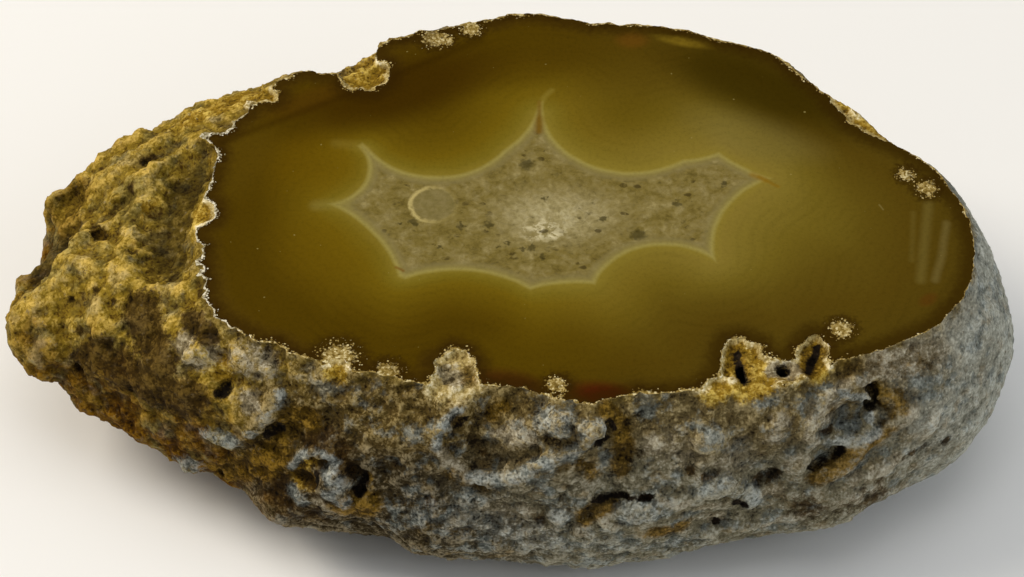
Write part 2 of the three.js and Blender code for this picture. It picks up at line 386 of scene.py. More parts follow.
FRONT_PITS = (
    Vein(((-129.8, 9.8), (-128.7, 10.6), (-128.2, 11.9), (-128.5, 12.8)), 0.75, 0.0, HOLE_SHADE),
    Vein(((-137.0, 11.4), (-135.9, 9.9), (-134.2, 9.3), (-132.6, 9.5)), 0.55, 0.1, GOLD, 1.8),
    Vein(((-137.0, 12.8), (-135.4, 12.3)), 1.1, 0.4, GOLD, 1.8),
    Vein(((-134.2, 10.9), (-133.6, 12.4)), 0.5, 0.1, HOLE_SHADE, 1.4),
    Vein(((-132.3, 11.8), (-131.9, 12.2)), 0.5, 0.2, HOLE_SHADE, 1.4),
    Vein(((-129.5, 13.8), (-128.9, 14.3)), 0.5, 0.1, OCHRE, 3.0),
    Vein(((-112.6, 5.4), (-111.0, 6.7), (-107.2, 7.1)), 1.1, 0.5, UMBER, 1.1),
    Vein(((-107.2, 7.1), (-103.0, 6.3), (-99.5, 5.0)), 0.9, 0.5, OCHRE, 1.0),
    Vein(((-115.5, 3.4), (-114.5, 2.9)), 0.5, 0.1, HOLE_SHADE, 1.4),
    Vein(((-93.3, 2.0), (-91.9, 1.7)), 0.55, 0.3, HOLE_SHADE),
    Vein(((-86.3, 1.9), (-85.3, 2.4), (-86.2, 3.2), (-87.6, 3.7)), 0.75, 0.1, HOLE_SHADE),
    Vein(((-88.1, 11.4), (-87.0, 11.2)), 0.7, 0.1, HOLE_SHADE, 1.4),
    Vein(((-86.0, 11.1), (-82.8, 11.0), (-80.3, 10.9), (-78.6, 10.6)), 0.5, 0.1, HOLE_SHADE, 1.4),
    Vein(((-90.5, 13.6), (-89.0, 12.6)), 1.0, 0.4, OCHRE, 1.8),
    Vein(((-66.1, 17.2), (-65.4, 17.6)), 0.6, 0.1, HOLE_SHADE, 1.4),
    Vein(((-68.4, 8.8), (-66.5, 8.4)), 0.6, 0.3, UMBER, 1.4),
    Vein(((-63.0, 13.5), (-61.1, 14.6)), 0.5, 0.2, HOLE_SHADE, 1.6),
    Vein(((-58.3, 11.8), (-57.0, 11.6), (-55.8, 11.2)), 0.9, 0.2, UMBER, 1.6),
    Vein(((-37.9, 3.7), (-37.8, 4.8), (-38.6, 5.9)), 0.85, 0.0, HOLE_SHADE, 1.3),
    Vein(((-44.8, 5.2), (-42.0, 5.6)), 2.2, 1.95),
    *dots(None, 1.5, (-58.0, 8.0, 4.0, 3.4), (-73.0, 7.0, 3.4, 2.9), (-124.0, 7.0, 3.6, 3.1)),
    Vein(((-50.2, 10.5), (-48.4, 10.1), (-46.8, 9.5), (-45.7, 8.9)), 0.75, 0.1, HOLE_SHADE, 1.2),
    Vein(((-37.0, 13.0), (-35.2, 13.1), (-33.4, 13.2)), 0.5, 0.3, UMBER, 1.6),
    *dots(UMBER, 1.5, (-79.8, 5.9, 0.6, 0.2), (-70.8, 8.0, 0.6, 0.2)),
    Vein(((-30.2, 2.5),), 0.6, 0.2),
    *dots(UMBER, 1.5, (-30.2, 14.0, 0.7, 0.3), (-98.6, 14.7, 0.8, 0.3), (-117.6, 12.5, 0.8, 0.3),
          (-135.0, 6.2, 0.7, 0.3), (-41.2, 14.6, 0.7, 0.4)),
)

BACK_PITS = scattered(24, (0.5, 1.4), 0.35, (None, OCHRE, None, UMBER), 9)
PITS = LEFT_PITS + FRONT_PITS + BACK_PITS

# Stains. Where the lift is below 0 the beads lie under the skin, so the tint is partial and patchy.
SIDE_STAINS = (
    Vein(((-164.9, 3.5), (-161.0, 4.6), (-157.1, 5.1)), 2.4, 0.0, UMBER),
    Vein(((-159.4, 1.4), (-155.5, 1.4)), 1.4, 0.0, UMBER),
    Vein(((-161.3, 8.8), (-156.6, 8.2), (-152.5, 7.3)), 2.8, 0.0, UMBER),
    Vein(((-164.3, 8.1), (-164.9, 10.9)), 2.0, 0.0, UMBER),
    Vein(((-174.0, 9.5), (-172.0, 12.0)), 1.6, 0.0, OCHRE),
    Vein(((162.2, 2.4), (159.3, 1.8), (155.7, 1.4)), 1.7, 0.0, GOLD),
    Vein(((-141.2, 9.3), (-141.0, 6.5), (-138.5, 5.9)), 1.5, 0.0, OCHRE),
    Vein(((-149.9, 19.2), (-145.5, 15.2), (-140.2, 10.9)), 1.9, 0.0, OCHRE),
    Vein(((-152.0, 3.2), (-151.2, 4.0)), 1.2, 0.0, GOLD, 1.6),
    Vein(((-129.9, 14.4), (-128.5, 15.8), (-127.1, 14.2)), 1.3, 0.0, OCHRE, 2.0),
    Vein(((-77.6, 16.3), (-75.1, 16.5), (-72.8, 16.3)), 1.0, 0.0, OCHRE, 1.8),
    Vein(((-35.6, 5.3), (-35.8, 6.5)), 1.0, 0.0, OCHRE, 1.8),
    Vein(((-49.9, 11.7), (-47.9, 11.0), (-46.1, 10.1), (-44.8, 9.4)), 1.0, 0.0, OCHRE, 1.8),
    Vein(((-47.4, 3.4), (-44.0, 3.2)), 2.4, -1.0, ASH, 1.0),
    Vein(((-47.6, 6.2), (-46.2, 6.8)), 1.3, -0.5, UMBER, 1.0),
    Vein(((-46.6, 4.2), (-45.3, 4.0)), 1.1, -0.3, OCHRE, 1.0),
    Vein(((-42.0, 8.4), (-40.6, 8.0)), 1.2, -0.3, GOLD, 1.0),
    Vein(((-41.0, 8.6), (-38.0, 8.2)), 1.2, -0.3, OCHRE, 1.0),
    Vein(((-52.0, 16.0), (-42.0, 17.5)), 4.5, -2.7, UMBER, 1.0),
    Vein(((-110.0, 14.0), (-100.0, 16.5)), 5.5, -3.6, ASH, 1.0),
    Vein(((-73.0, 5.5), (-63.0, 7.5)), 5.5, -3.6, ASH, 1.0),
    Vein(((-40.0, 1.0), (-30.0, 2.5)), 3.6, -2.4, OCHRE, 1.0),
    Vein(((-86.0, 19.0), (-70.0, 20.0)), 3.6, -2.4, FROST, 1.0),
    Vein(((-118.0, 14.0), (-102.0, 17.5), (-86.0, 18.5)), 5.0, -3.3, FROST, 1.0),
    Vein(((-109.6, 2.8), (-108.0, 2.0)), 1.8, -0.9, OCHRE, 1.0),
    Vein(((-100.6, 3.2), (-99.0, 3.6)), 1.6, -0.8, OCHRE, 1.0),
    Vein(((-114.4, 8.8), (-107.6, 10.0)), 1.8, -1.0, OCHRE, 1.0),
    Vein(((-99.7, 6.9), (-94.0, 5.6)), 1.6, -0.9, OCHRE, 1.0),
    Vein(((-91.0, 6.0), (-89.0, 7.4)), 1.8, -1.0, OCHRE, 1.0),
    Vein(((-113.8, 16.4), (-111.0, 16.8)), 1.5, -0.7, OCHRE, 1.0),
    Vein(((-136.0, 7.6), (-133.0, 7.8), (-131.0, 10.0)), 3.4, -1.6, UMBER, 1.0),
    Vein(((-137.0, 12.0), (-134.0, 13.0), (-130.0, 14.5)), 3.6, -2.2, UMBER, 1.0),
    Vein(((-143.0, 12.0), (-139.0, 16.0), (-134.0, 19.0)), 4.0, -2.4, UMBER, 1.0),
    Vein(((-86.0, 0.8), (-83.4, 2.4), (-82.6, 5.6), (-83.6, 7.6)), 0.9, 0.0, OCHRE, 1.8),
    Vein(((-88.0, 12.6), (-86.6, 12.2), (-85.2, 11.8)), 0.8, 0.0, OCHRE, 1.8),
    Vein(((-35.4, 1.4), (-32.8, 1.9), (-28.0, 2.4)), 1.7, 0.0, ASH),
)

BACK_STAINS = scattered(16, (2.0, 4.0), -0.8, (OCHRE, UMBER, ASH, OCHRE), 21)
STAINS = SIDE_STAINS + BACK_STAINS

# Where skin bites into the polished face, and the narrow slots in those places.
DISHES = (
    Groove(((-14.8, -23.0), (-15.0, -25.0), (-14.8, -26.8)), 1.4, 0.5),
    Groove(((-13.4, -22.9), (-13.2, -25.0), (-12.8, -26.6)), 1.15, 0.5),
    Groove(((-15.4, -25.4), (-15.9, -26.6)), 1.1, 0.5),
    Groove(((13.4, -27.2), (14.4, -26.6)), 1.2, 0.5),
    Groove(((15.2, -25.0), (15.2, -23.0), (15.6, -21.2), (16.9, -20.8), (18.0, -21.8), (18.2, -24.4)),
           0.95, 0.45),
    Groove(((16.8, -26.8), (18.6, -26.2), (20.6, -24.2), (22.2, -24.8)), 1.2, 0.5),
    Groove(((23.0, -23.9), (23.6, -21.8), (24.2, -20.4), (25.3, -20.5), (25.7, -22.2), (24.9, -24.6)),
           0.75, 0.45),
    Groove(((-25.7, 17.9), (-26.2, 19.2)), 1.5, 0.6),
    Groove(((-23.9, 18.2), (-24.0, 20.4)), 1.5, 0.6),
    Groove(((16.5, -22.0), (16.8, -25.2)), 1.0, 0.45, OCHRE, 0.7),
    Groove(((24.8, -21.4), (24.1, -24.4)), 0.8, 0.45, OCHRE, 0.8),
    Groove(((20.4, -24.3), (22.2, -24.4)), 0.8, 0.5, ASH, 0.9),
    Groove(((-12.9, -24.4), (-12.8, -25.8)), 0.5, 0.9, OCHRE, 0.8),
    Groove(((-15.0, -24.6), (-14.2, -25.4)), 0.8, 1.0, ASH, 1.2),
    Groove(((-35.6, 15.9), (-38.6, 15.6)), 1.0, 0.4),
    Groove(((28.8, 14.9), (30.6, 12.2), (32.5, 10.4), (34.7, 9.2)), 0.7, 0.3),
    Groove(((-43.2, -1.0), (-42.6, -2.8)), 1.5, 0.7),
    Groove(((-26.9, -23.4), (-27.4, -25.4)), 1.0, 0.35),
    Groove(((-3.0, -27.2),), 0.9, 0.3),
)

SLOTS = (
    Groove(((16.3, -21.6), (16.2, -22.6), (16.5, -23.8)), 0.32, 1.5),
    Groove(((16.5, -23.8), (16.6, -24.8), (16.9, -25.6)), 0.5, 3.0),
    Groove(((21.0, -24.1), (21.3, -24.3)), 0.6, 2.5),
    Groove(((24.9, -20.9), (24.7, -22.0), (24.2, -23.2), (23.9, -24.2)), 0.42, 2.2),
)


def deselect() -> None:
    """Deselects every object, because an operator acts on all that is selected."""
    for thing in bpy.context.scene.objects:
        thing.select_set(False)


def take_up(thing: bpy.types.Object) -> None:
    """Selects one object alone and makes it the active one.

    Args:
        thing: the object.
    """
    deselect()
    thing.select_set(True)
    bpy.context.view_layer.objects.active = thing


def apply_modifier(thing: bpy.types.Object, kind: str, **settings: object) -> None:
    """Adds a modifier to an object and applies it at once.

    Args:
        thing: the object to change.
        kind: the modifier's type, such as "REMESH".
        settings: the modifier's own settings, by name.
    """
    take_up(thing)
    modifier = thing.modifiers.new(kind.lower(), kind)
    for name, value in settings.items():
        setattr(modifier, name, value)
    bpy.ops.object.modifier_apply(modifier=modifier.name)


def remesh(thing: bpy.types.Object, voxel: float) -> None:
    """Rebuilds a mesh from voxels of that size in millimetres, which also joins what overlaps."""
    apply_modifier(thing, "REMESH", mode="VOXEL", voxel_size=voxel * MM)


def press(thing: bpy.types.Object, relief: Relief, group: str = "") -> None:
    """Pushes a mesh in and out by a pattern.

    Args:
        thing: the object to change.
        relief: the pattern.
        group: the vertex group that says how strongly, if not everywhere alike.
    """
    pattern = bpy.data.textures.new(relief.name, relief.kind)
    pattern.noise_scale = relief.size * MM
    for key, value in relief.settings.items():
        setattr(pattern, key, value)
    apply_modifier(thing, "DISPLACE", texture=pattern, strength=relief.height * MM,
                   mid_level=relief.middle, texture_coords="LOCAL", vertex_group=group)


def places(mesh: bpy.types.Mesh) -> np.ndarray:
    """Reads where the vertices of a mesh are.

    Args:
        mesh: the mesh.

    Returns:
        Rows of x, y and z in metres.
    """
    flat = np.empty(len(mesh.vertices) * 3, np.float32)
    mesh.vertices.foreach_get("co", flat)
    return flat.reshape(-1, 3).astype(float)


def nearest(targets: np.ndarray, queries: np.ndarray) -> np.ndarray:
    """Measures how far each place is from the nearest of some others.

    Args:
        targets: the others, as rows of three numbers.
        queries: the places to measure from, as such rows too.

    Returns:
        One distance for each query.
    """
    tree = KDTree(len(targets))
    for index, place in enumerate(targets):
        tree.insert(place, index)
    tree.balance()
    return np.array([tree.find(place)[2] for place in queries])


@dataclass
class Stone:
    """The slice itself: one piece of stone, cut from the CAD stone's shape and roughened.

    The overrun is how far the stone is first carried on past each cut, and the taper how wide it
    is there. Coarse, medium and fine are the mesh's cells for the bare stone, the knobs and the
    finished skin, and the tools' cells are shares of medium. The rounds are how often a shape is
    smoothed, by the softness each time. The slab is how wide the saw's cut is against the stone,
    and the face grid its mesh. The core is how far out, as a share of the stone's width, the skin
    is seen from when it is laid flat, and faces that meet at more than the crease stay sharp.
    """

    overrun: float = 2.5
    taper: float = 0.975
    coarse: float = 0.6
    medium: float = 0.45
    fine: float = 0.44
    knob_cells: float = 0.7
    pit_cells: float = 0.6
    softness: float = 0.5
    stone_rounds: int = 14
    knob_rounds: int = 4
    slab: float = 2.4
    face_grid: float = 0.8
    core: float = 0.5
    crease: float = 55.0
    piece: bpy.types.Object = field(init=False)
    low: Vector = field(init=False)
    high: Vector = field(init=False)
    body: BVHTree = field(init=False)
    slots: list[Bead] = field(init=False)
    zones: np.ndarray = field(init=False)

    def rough_out(self) -> None:
        """Copies the CAD stone and carries it on past both cuts, so that the saw meets solid stone."""
        node = frame["nodes"][NODE]
        self.low, self.high = (Vector(corner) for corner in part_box(NODE))
        self.piece = bpy.data.objects.new("agate_stone", node.data.copy())
        bpy.context.scene.collection.objects.link(self.piece)
        take_up(self.piece)
        bpy.ops.object.mode_set(mode="EDIT")
        bpy.ops.mesh.select_all(action="SELECT")
        bpy.ops.mesh.remove_doubles(threshold=WELD)
        bpy.ops.object.mode_set(mode="OBJECT")
        for side in (1, -1):
            self.carry_on(side)
        remesh(self.piece, self.coarse)
        apply_modifier(self.piece, "SMOOTH", factor=self.softness, iterations=self.stone_rounds)
        self.body = BVHTree.FromPolygons(
            [v.co.copy() for v in self.piece.data.vertices],
            [tuple(p.vertices) for p in self.piece.data.polygons],
        )

    def carry_on(self, side: int) -> None:
        """Carries the stone on past one cut.

        Args:
            side: 1 for the polished face and -1 for the underside.
        """
        level = self.high.z if side > 0 else self.low.z
        take_up(self.piece)
        bpy.ops.object.mode_set(mode="EDIT")
        bpy.ops.mesh.select_mode(type="FACE")
        bpy.ops.mesh.select_all(action="DESELECT")
        bpy.ops.object.mode_set(mode="OBJECT")
        for face in self.piece.data.polygons:
            face.select = face.normal.z * side > NEARLY_LEVEL and abs(face.center.z - level) < AT_CUT
        bpy.ops.object.mode_set(mode="EDIT")
        rise = (0.0, 0.0, side * self.overrun * MM)
        bpy.ops.mesh.extrude_region_move(TRANSFORM_OT_translate={"value": rise})
        narrowed = (self.taper, self.taper, 1.0)
        bpy.ops.transform.resize(value=narrowed, center_override=(0.0, 0.0, level))
        bpy.ops.object.mode_set(mode="OBJECT")

    def on_skin(self, direction: float, drop: float) -> tuple[Vector, Vector]:
        """Finds a place on the stone's smooth skin.

        Args:
            direction: degrees round the face's centre from +X.
            drop: millimetres below the polished face.

        Returns:
            The place in metres, and the outward normal there.
        """
        angle = math.radians(direction)
        inward = -Vector((math.cos(angle), math.sin(angle), 0.0))
        axis = Vector((FACE_CENTRE[0] * MM, FACE_CENTRE[1] * MM, self.high.z - drop * MM))
        place, normal, _, _ = self.body.ray_cast(axis - inward * RAY_START, inward)
        return place, normal

    def along_skin(self, vein: Vein) -> list[Bead]:
        """The beads of a vein, along the skin and lifted off it."""
        feet = [self.on_skin(*stop) for stop in vein.stops]
        return self.string([place + normal * vein.lift * MM for place, normal in feet], vein.radius)

    def along_face(self, groove: Groove) -> list[Bead]:
        """Finds the balls that a groove is dished out with.

        Args:
            groove: a groove in the polished face.

        Returns:
            Beads that dip as deep as the groove, and are as wide as it at the face.
        """
        ball = (groove.radius ** 2 + groove.depth ** 2) / (2 * groove.depth)
        ball = max(ball, groove.radius)
        return self.string(self.on_face(groove, max(ball - groove.depth, 0.0)), ball)

    def on_face(self, groove: Groove, rise: float) -> list[Vector]:
        """A groove's stops in metres, by so many millimetres above the polished face."""
        level = self.high.z / MM + rise
        return [Vector((FACE_CENTRE[0] + x, FACE_CENTRE[1] + y, level)) * MM for x, y in groove.stops]

    @staticmethod
    def string(route: list[Vector], radius: float) -> list[Bead]:
        """Spaces beads along a route, close enough to run together.

        Args:
            route: the places that the string goes through.
            radius: the radius of every bead in millimetres.

        Returns:
            The beads.
        """
        beads = [(route[0], radius)]
        for start, end in zip(route, route[1:]):
            steps = max(1, math.ceil((end - start).length / (BEAD_GAP * radius * MM)))
            beads += [(start.lerp(end, step / steps), radius) for step in range(1, steps + 1)]
        return beads

    def cluster(self, name: str, beads: list[Bead], voxel: float) -> bpy.types.Object:
        """Makes beads as one closed mesh, each running softly into its neighbours.

        Args:
            name: the name of the new object.
            beads: the beads, at their places on the stone.
            voxel: the size of the mesh's cells in millimetres.

        Returns:
            The new object, at its place on the stone.
        """
        deselect()
        bpy.ops.object.metaball_add(type="BALL", radius=1.0, location=(0.0, 0.0, 0.0))
        soft = bpy.context.object
        soft.name = name
        soft.data.elements.clear()
        soft.data.resolution = voxel
        for place, radius in beads:
            bead = soft.data.elements.new()
            bead.co = place / MM
            bead.radius = radius * BEAD_REACH
        take_up(soft)
        bpy.ops.object.convert(target="MESH")
        made = bpy.context.object
        bpy.ops.transform.resize(value=(MM, MM, MM), center_override=(0.0, 0.0, 0.0))
        bpy.ops.object.transform_apply()
        return made

    def grow_knobs(self) -> None:
        """Joins the knobs and ridges to the stone, and softens where they meet it."""
        beads = [bead for vein in KNOBS for bead in self.along_skin(vein)]
        knobs = self.cluster("knobs", beads, self.medium * self.knob_cells)
        press(knobs, CRUMPLE)
        take_up(self.piece)
        knobs.select_set(True)
        bpy.ops.object.join()
        remesh(self.piece, self.medium)
        apply_modifier(self.piece, "SMOOTH", factor=self.softness, iterations=self.knob_rounds)

    def share_out(self, shares: Shares) -> str:
        """Makes a vertex group that says how strongly each part of the skin is roughened.

        Args:
            shares: directions round the stone, each with its share of the full roughness.

        Returns:
            The group's name.
        """
        around, _ = self.bearings(places(self.piece.data) / MM)
        levels = np.round(np.interp(around, *zip(*shares)), 2)
        group = self.piece.vertex_groups.new(name="roughness")
        for level in np.unique(levels):
            group.add(np.flatnonzero(levels == level).tolist(), float(level), "REPLACE")
        return group.name

    def bearings(self, spots: np.ndarray) -> tuple[np.ndarray, np.ndarray]:
        """The direction of each place round the face's centre, and its drop below the face."""
        around = np.degrees(np.arctan2(spots[:, 1] - FACE_CENTRE[1], spots[:, 0] - FACE_CENTRE[0]))
        return around, self.high.z / MM - spots[:, 2]

    def roughen(self, relief: Relief) -> None:
        """Pushes the skin in and out by a pattern, more strongly on some sides than on others."""
        press(self.piece, relief, self.share_out(relief.shares))
        self.piece.vertex_groups.clear()

    def cut(self, tool: bpy.types.Object, operation: str) -> None:
        """Cuts the stone with another closed mesh, and throws that away.

        Args:
            tool: the mesh to cut with.
            operation: "DIFFERENCE" to take it away, or "INTERSECT" to keep what lies in it.
        """
        apply_modifier(self.piece, "BOOLEAN", object=tool, operation=operation, solver="MANIFOLD")
        bpy.data.objects.remove(tool)

    def sink_pits(self) -> None:
        """Takes the pits out of the skin, and the dishes and slots out of the polished face."""
        pits = [bead for vein in PITS for bead in self.along_skin(vein)]
        dishes = [bead for groove in DISHES for bead in self.along_face(groove)]
        self.slots = []
        for groove in SLOTS:
            for dip in np.arange(0.0, groove.depth, groove.radius):
                self.slots += self.string(self.on_face(groove, -dip), groove.radius)
        for beads, relief in ((pits, RAGGED), (dishes, RAGGED), (self.slots, NIBBLED)):
            tool = self.cluster("tool", beads, self.medium * self.pit_cells)
            press(tool, relief)
            remesh(tool, self.medium * self.pit_cells)
            self.cut(tool, "DIFFERENCE")
        remesh(self.piece, self.fine)

    def saw(self) -> None:
        """Saws the top and the underside flat, each cut with an even mesh of its own."""
        span = self.slab * max(abs(c) for c in (self.high.x, self.low.x, self.high.y, self.low.y))
        cells = round(span / MM / self.face_grid)
        deselect()
        bpy.ops.mesh.primitive_grid_add(x_subdivisions=cells, y_subdivisions=cells, size=span,
                                        location=(0.0, 0.0, self.low.z))
        slab = bpy.context.object
        bpy.ops.object.mode_set(mode="EDIT")
        bpy.ops.mesh.select_all(action="SELECT")
        rise = (0.0, 0.0, self.high.z - self.low.z)
        bpy.ops.mesh.extrude_region_move(TRANSFORM_OT_translate={"value": rise})
        bpy.ops.mesh.select_all(action="SELECT")
        bpy.ops.mesh.normals_make_consistent(inside=False)
        bpy.ops.object.mode_set(mode="OBJECT")
        bpy.ops.object.transform_apply()
        self.cut(slab, "INTERSECT")

    def name_zones(self) -> None:
        """Gives each face its material, by whether it lies on a cut or on the skin."""
        mesh = self.piece.data
        count = len(mesh.polygons)
        normals = np.empty(count * 3)
        centres = np.empty(count * 3)
        mesh.polygons.foreach_get("normal", normals)
        mesh.polygons.foreach_get("center", centres)
        upright = normals.reshape(-1, 3)[:, 2]
        level = centres.reshape(-1, 3)[:, 2]
        zones = np.full(count, Zone.SKIN.value)
        zones[(upright > LEVEL) & (level > self.high.z - WELD)] = Zone.POLISHED.value
        zones[(upright < -LEVEL) & (level < self.low.z + WELD)] = Zone.SAWN.value
        self.zones = zones
        mesh.polygons.foreach_set("material_index", zones)
        mesh.update()

    def zone_members(self) -> dict[Zone, np.ndarray]:
        """Sorts the vertices by zone.

        Returns:
            For each zone, one truth for each vertex: whether a face of that zone uses it.
        """
        sizes, corners = self.corners()
        corner_zone = np.repeat(self.zones, sizes)
        members = {}
        for zone in Zone:
            members[zone] = np.zeros(len(self.piece.data.vertices), bool)
            members[zone][corners[corner_zone == zone.value]] = True
        return members

    def corners(self) -> tuple[np.ndarray, np.ndarray]:
        """Reads how the faces are put together.

        Returns:
            How many corners each face has, and the vertex at each corner.
        """
        mesh = self.piece.data
        sizes = np.empty(len(mesh.polygons), int)
        mesh.polygons.foreach_get("loop_total", sizes)
        corners = np.empty(len(mesh.loops), int)
        mesh.loops.foreach_get("vertex_index", corners)
        return sizes, corners

    def lay_map(self) -> None:
        """Lays the stone out flat: both cuts side by side, and the skin above them as two strips."""
        sizes, corners = self.corners()
        spots = (places(self.piece.data) / MM)[corners]
        zone = np.repeat(self.zones, sizes)
        flat = np.empty((len(corners), 2))
        foot = self.lay_cuts(spots, zone, flat)
        skin = np.flatnonzero(zone == Zone.SKIN.value)
        starts = np.concatenate([[0], np.cumsum(sizes)[:-1]])
        middles = np.add.reduceat(spots, starts) / sizes[:, None]
        middle = np.repeat(self.bearings(middles)[0], sizes)[skin]
        flat[skin] = self.lay_skin(spots[skin], middle, foot)
        layer = self.piece.data.uv_layers.new(name=MAP_NAME)
        layer.data.foreach_set("uv", (flat / MAP_SPAN).astype(np.float32).ravel())

    @staticmethod
    def lay_cuts(spots: np.ndarray, zone: np.ndarray, flat: np.ndarray) -> float:
        """Lays both cuts side by side at the foot of the map.

        Args:
            spots: the place of each corner in millimetres.
            zone: the zone of each corner.
            flat: the map, whose rows for the cuts are filled in.

        Returns:
            How high the polished face reaches on the map.
        """
        edge = MAP_GAP
        for cut, side in ((Zone.POLISHED, 1.0), (Zone.SAWN, -1.0)):
            here = zone == cut.value
            seen = spots[here, :2] * (side, 1.0)
            flat[here] = seen - seen.min(axis=0) + (edge, MAP_GAP)
            edge = flat[here, 0].max() + MAP_GAP
        return flat[zone == Zone.POLISHED.value, 1].max()

    def lay_skin(self, spots: np.ndarray, middle: np.ndarray, foot: float) -> np.ndarray:
        """Lays the skin out in two strips, one for the front half of the stone and one for the back.

        Args:
            spots: the place of each of the skin's corners in millimetres.
            middle: the direction of the middle of each corner's face.
            foot: how high the cuts reach on the map.

        Returns:
            The place of each corner on the map.
        """
        around = self.bearings(spots)[0]
        around = middle + (around - middle + HALF_TURN) % (2 * HALF_TURN) - HALF_TURN
        rounds = np.arange(*MAP_ROUND)
        level = (self.high.z - self.low.z) / 2 / MM
        ring = np.array([tuple(self.on_skin(direction, level)[0] / MM) for direction in rounds])
        gone = np.concatenate([[0.0], np.cumsum(np.linalg.norm(np.diff(ring, axis=0), axis=1))])
        reach = np.interp(around, rounds, np.hypot(*(ring[:, :2] - FACE_CENTRE).T))
        out = np.hypot(*(spots[:, :2] - FACE_CENTRE).T)
        tilt = np.arctan2(spots[:, 2] - level, out - self.core * reach)
        strip = (MAP_SPAN - foot) / 2 - MAP_GAP
        up = (tilt - tilt.min()) / np.ptp(tilt) * (strip - MAP_GAP)
        back = middle > 0
        start = np.interp(np.where(back, 0.0, -HALF_TURN), rounds, gone)
        across = np.interp(around, rounds, gone) - start + 2 * MAP_GAP
        return np.column_stack([across, foot + MAP_GAP + up + back * strip])

    def store(self, name: str, values: np.ndarray) -> None:
        """Stores one measure on each vertex, for the finishes to read."""
        layer = self.piece.data.attributes.new(name, "FLOAT", "POINT")
        layer.data.foreach_set("value", values.astype(np.float32))

    def measure_face(self, spots: np.ndarray, on: dict[Zone, np.ndarray]) -> None:
        """Stores how far each vertex lies from the rim of its cut and from the quartz heart.

        Args:
            spots: the vertices in millimetres.
            on: which vertices each zone uses.
        """
        rim = np.zeros(len(spots))
        for cut in (Zone.POLISHED, Zone.SAWN):
            edge = spots[on[cut] & on[Zone.SKIN]]
            inner = np.flatnonzero(on[cut] & ~on[Zone.SKIN])
            rim[inner] = nearest(edge, spots[inner])
        self.store("rim", rim)
        lip = np.full(len(spots), LIP_REACH)
        edge = spots[on[Zone.POLISHED] & on[Zone.SKIN]]
        close = np.flatnonzero(on[Zone.SKIN] & (self.high.z / MM - spots[:, 2] < LIP_REACH))
        lip[close] = np.minimum(nearest(edge, spots[close]), LIP_REACH)
        self.store("lip", lip)
        flat = spots * (1.0, 1.0, 0.0) - (*FACE_CENTRE, 0.0)
        across = np.arange(*HEART_SPAN, HEART_GRID)
        grid = np.stack(np.meshgrid(across, across), -1).reshape(-1, 2)
        grid = grid[HEART.depth(grid[:, 0], grid[:, 1]) > 0]
        self.store("heart", nearest(np.column_stack([grid, np.zeros(len(grid))]), flat))

    def measure_stand(self, spots: np.ndarray, skin: np.ndarray) -> None:
        """Stores how far the skin stands out, at large and against its surroundings.

        Args:
            spots: the vertices in millimetres.
            skin: which of them the skin uses.
        """
        relief = np.zeros(len(spots))
        for index in np.flatnonzero(skin & (spots[:, 2] < self.high.z / MM - FACE_MARGIN)):
            place, normal, _, _ = self.body.find_nearest(Vector(spots[index] * MM))
            relief[index] = (Vector(spots[index] * MM) - place).dot(normal) / MM
        self.store("relief", relief)
        normals = np.empty(len(spots) * 3, np.float32)
        self.piece.data.vertex_normals.foreach_get("vector", normals)
        stand = ((spots - self.smoothed(spots)) * normals.reshape(-1, 3)).sum(axis=1)
        self.store("stand", np.where(skin, stand, 0.0))

    def smoothed(self, spots: np.ndarray) -> np.ndarray:
        """Averages each vertex with those it shares an edge with, round after round.

        Args:
            spots: the vertices in millimetres.

        Returns:
            Where each would lie on a skin without its small knobs and hollows.
        """
        mesh = self.piece.data
        edges = np.empty(len(mesh.edges) * 2, int)
        mesh.edges.foreach_get("vertices", edges)
        first, second = edges.reshape(-1, 2).T
        count = np.bincount(np.concatenate([first, second]), minlength=len(spots))
        smooth = spots.copy()
        for _ in range(HOLLOW_ROUNDS):
            total = np.zeros_like(smooth)
            np.add.at(total, first, smooth[second])
            np.add.at(total, second, smooth[first])
            smooth = total / count[:, None]
        return smooth

    def measure_tints(self, spots: np.ndarray) -> None:
        """Stores how close each vertex lies to what colours it, from 0 out of reach to 1 at the heart.

        Args:
            spots: the vertices in millimetres.
        """
        runs = [(vein.tint, vein.reach * vein.radius, self.along_skin(vein))
                for vein in KNOBS + PITS + STAINS if vein.tint]
        runs += [(groove.tint, groove.reach + groove.radius,
                  self.string(self.on_face(groove, 0.0), groove.radius)) for groove in DISHES]
        # painted shade in and round each slot
        runs += [(HOLE_SHADE, SLOT_REACH * radius, [(place, radius)]) for place, radius in self.slots]
        shares = {tint: np.zeros(len(spots)) for tint in Tint}
        for tint, reach, beads in runs:
            centres = np.array([tuple(place / MM) for place, _ in beads])
            low, high = centres.min(axis=0) - reach, centres.max(axis=0) + reach
            close = np.flatnonzero(((spots > low) & (spots < high)).all(axis=1))
            gap = np.linalg.norm(spots[close, None] - centres[None], axis=2).min(axis=1)
            shares[tint][close] = np.maximum(shares[tint][close], 1 - gap / reach)
        for tint, share in shares.items():
            self.store(tint.value, share)

    def measure(self) -> None:
        """Stores on each vertex the measures that the finishes read."""
        spots = places(self.piece.data) / MM
        on = self.zone_members()
        self.measure_face(spots, on)
        self.measure_stand(spots, on[Zone.SKIN])
        self.measure_tints(spots)

    def finish(self) -> None:
        """Dresses the stone and hands it to the frame as the piece that stands for the CAD stone."""
        take_up(self.piece)
        bpy.ops.object.shade_smooth_by_angle(angle=math.radians(self.crease))
        mesh = self.piece.data
        self.lay_map()
        mesh.materials.clear()
        for finish in (PolishedAgate(), NoduleSkin(), SawnUnderside()):
            mesh.materials.append(finish.material())
        mesh.polygons.foreach_set("material_index", self.zones)
        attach(self.piece, "root")
        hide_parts(NODE)


Socket = bpy.types.NodeSocket
Value = float | Sequence[float] | Socket
Stops = tuple[tuple[float, int], ...]  # numbers, each with the colour 0xRRGGBB that it stands for


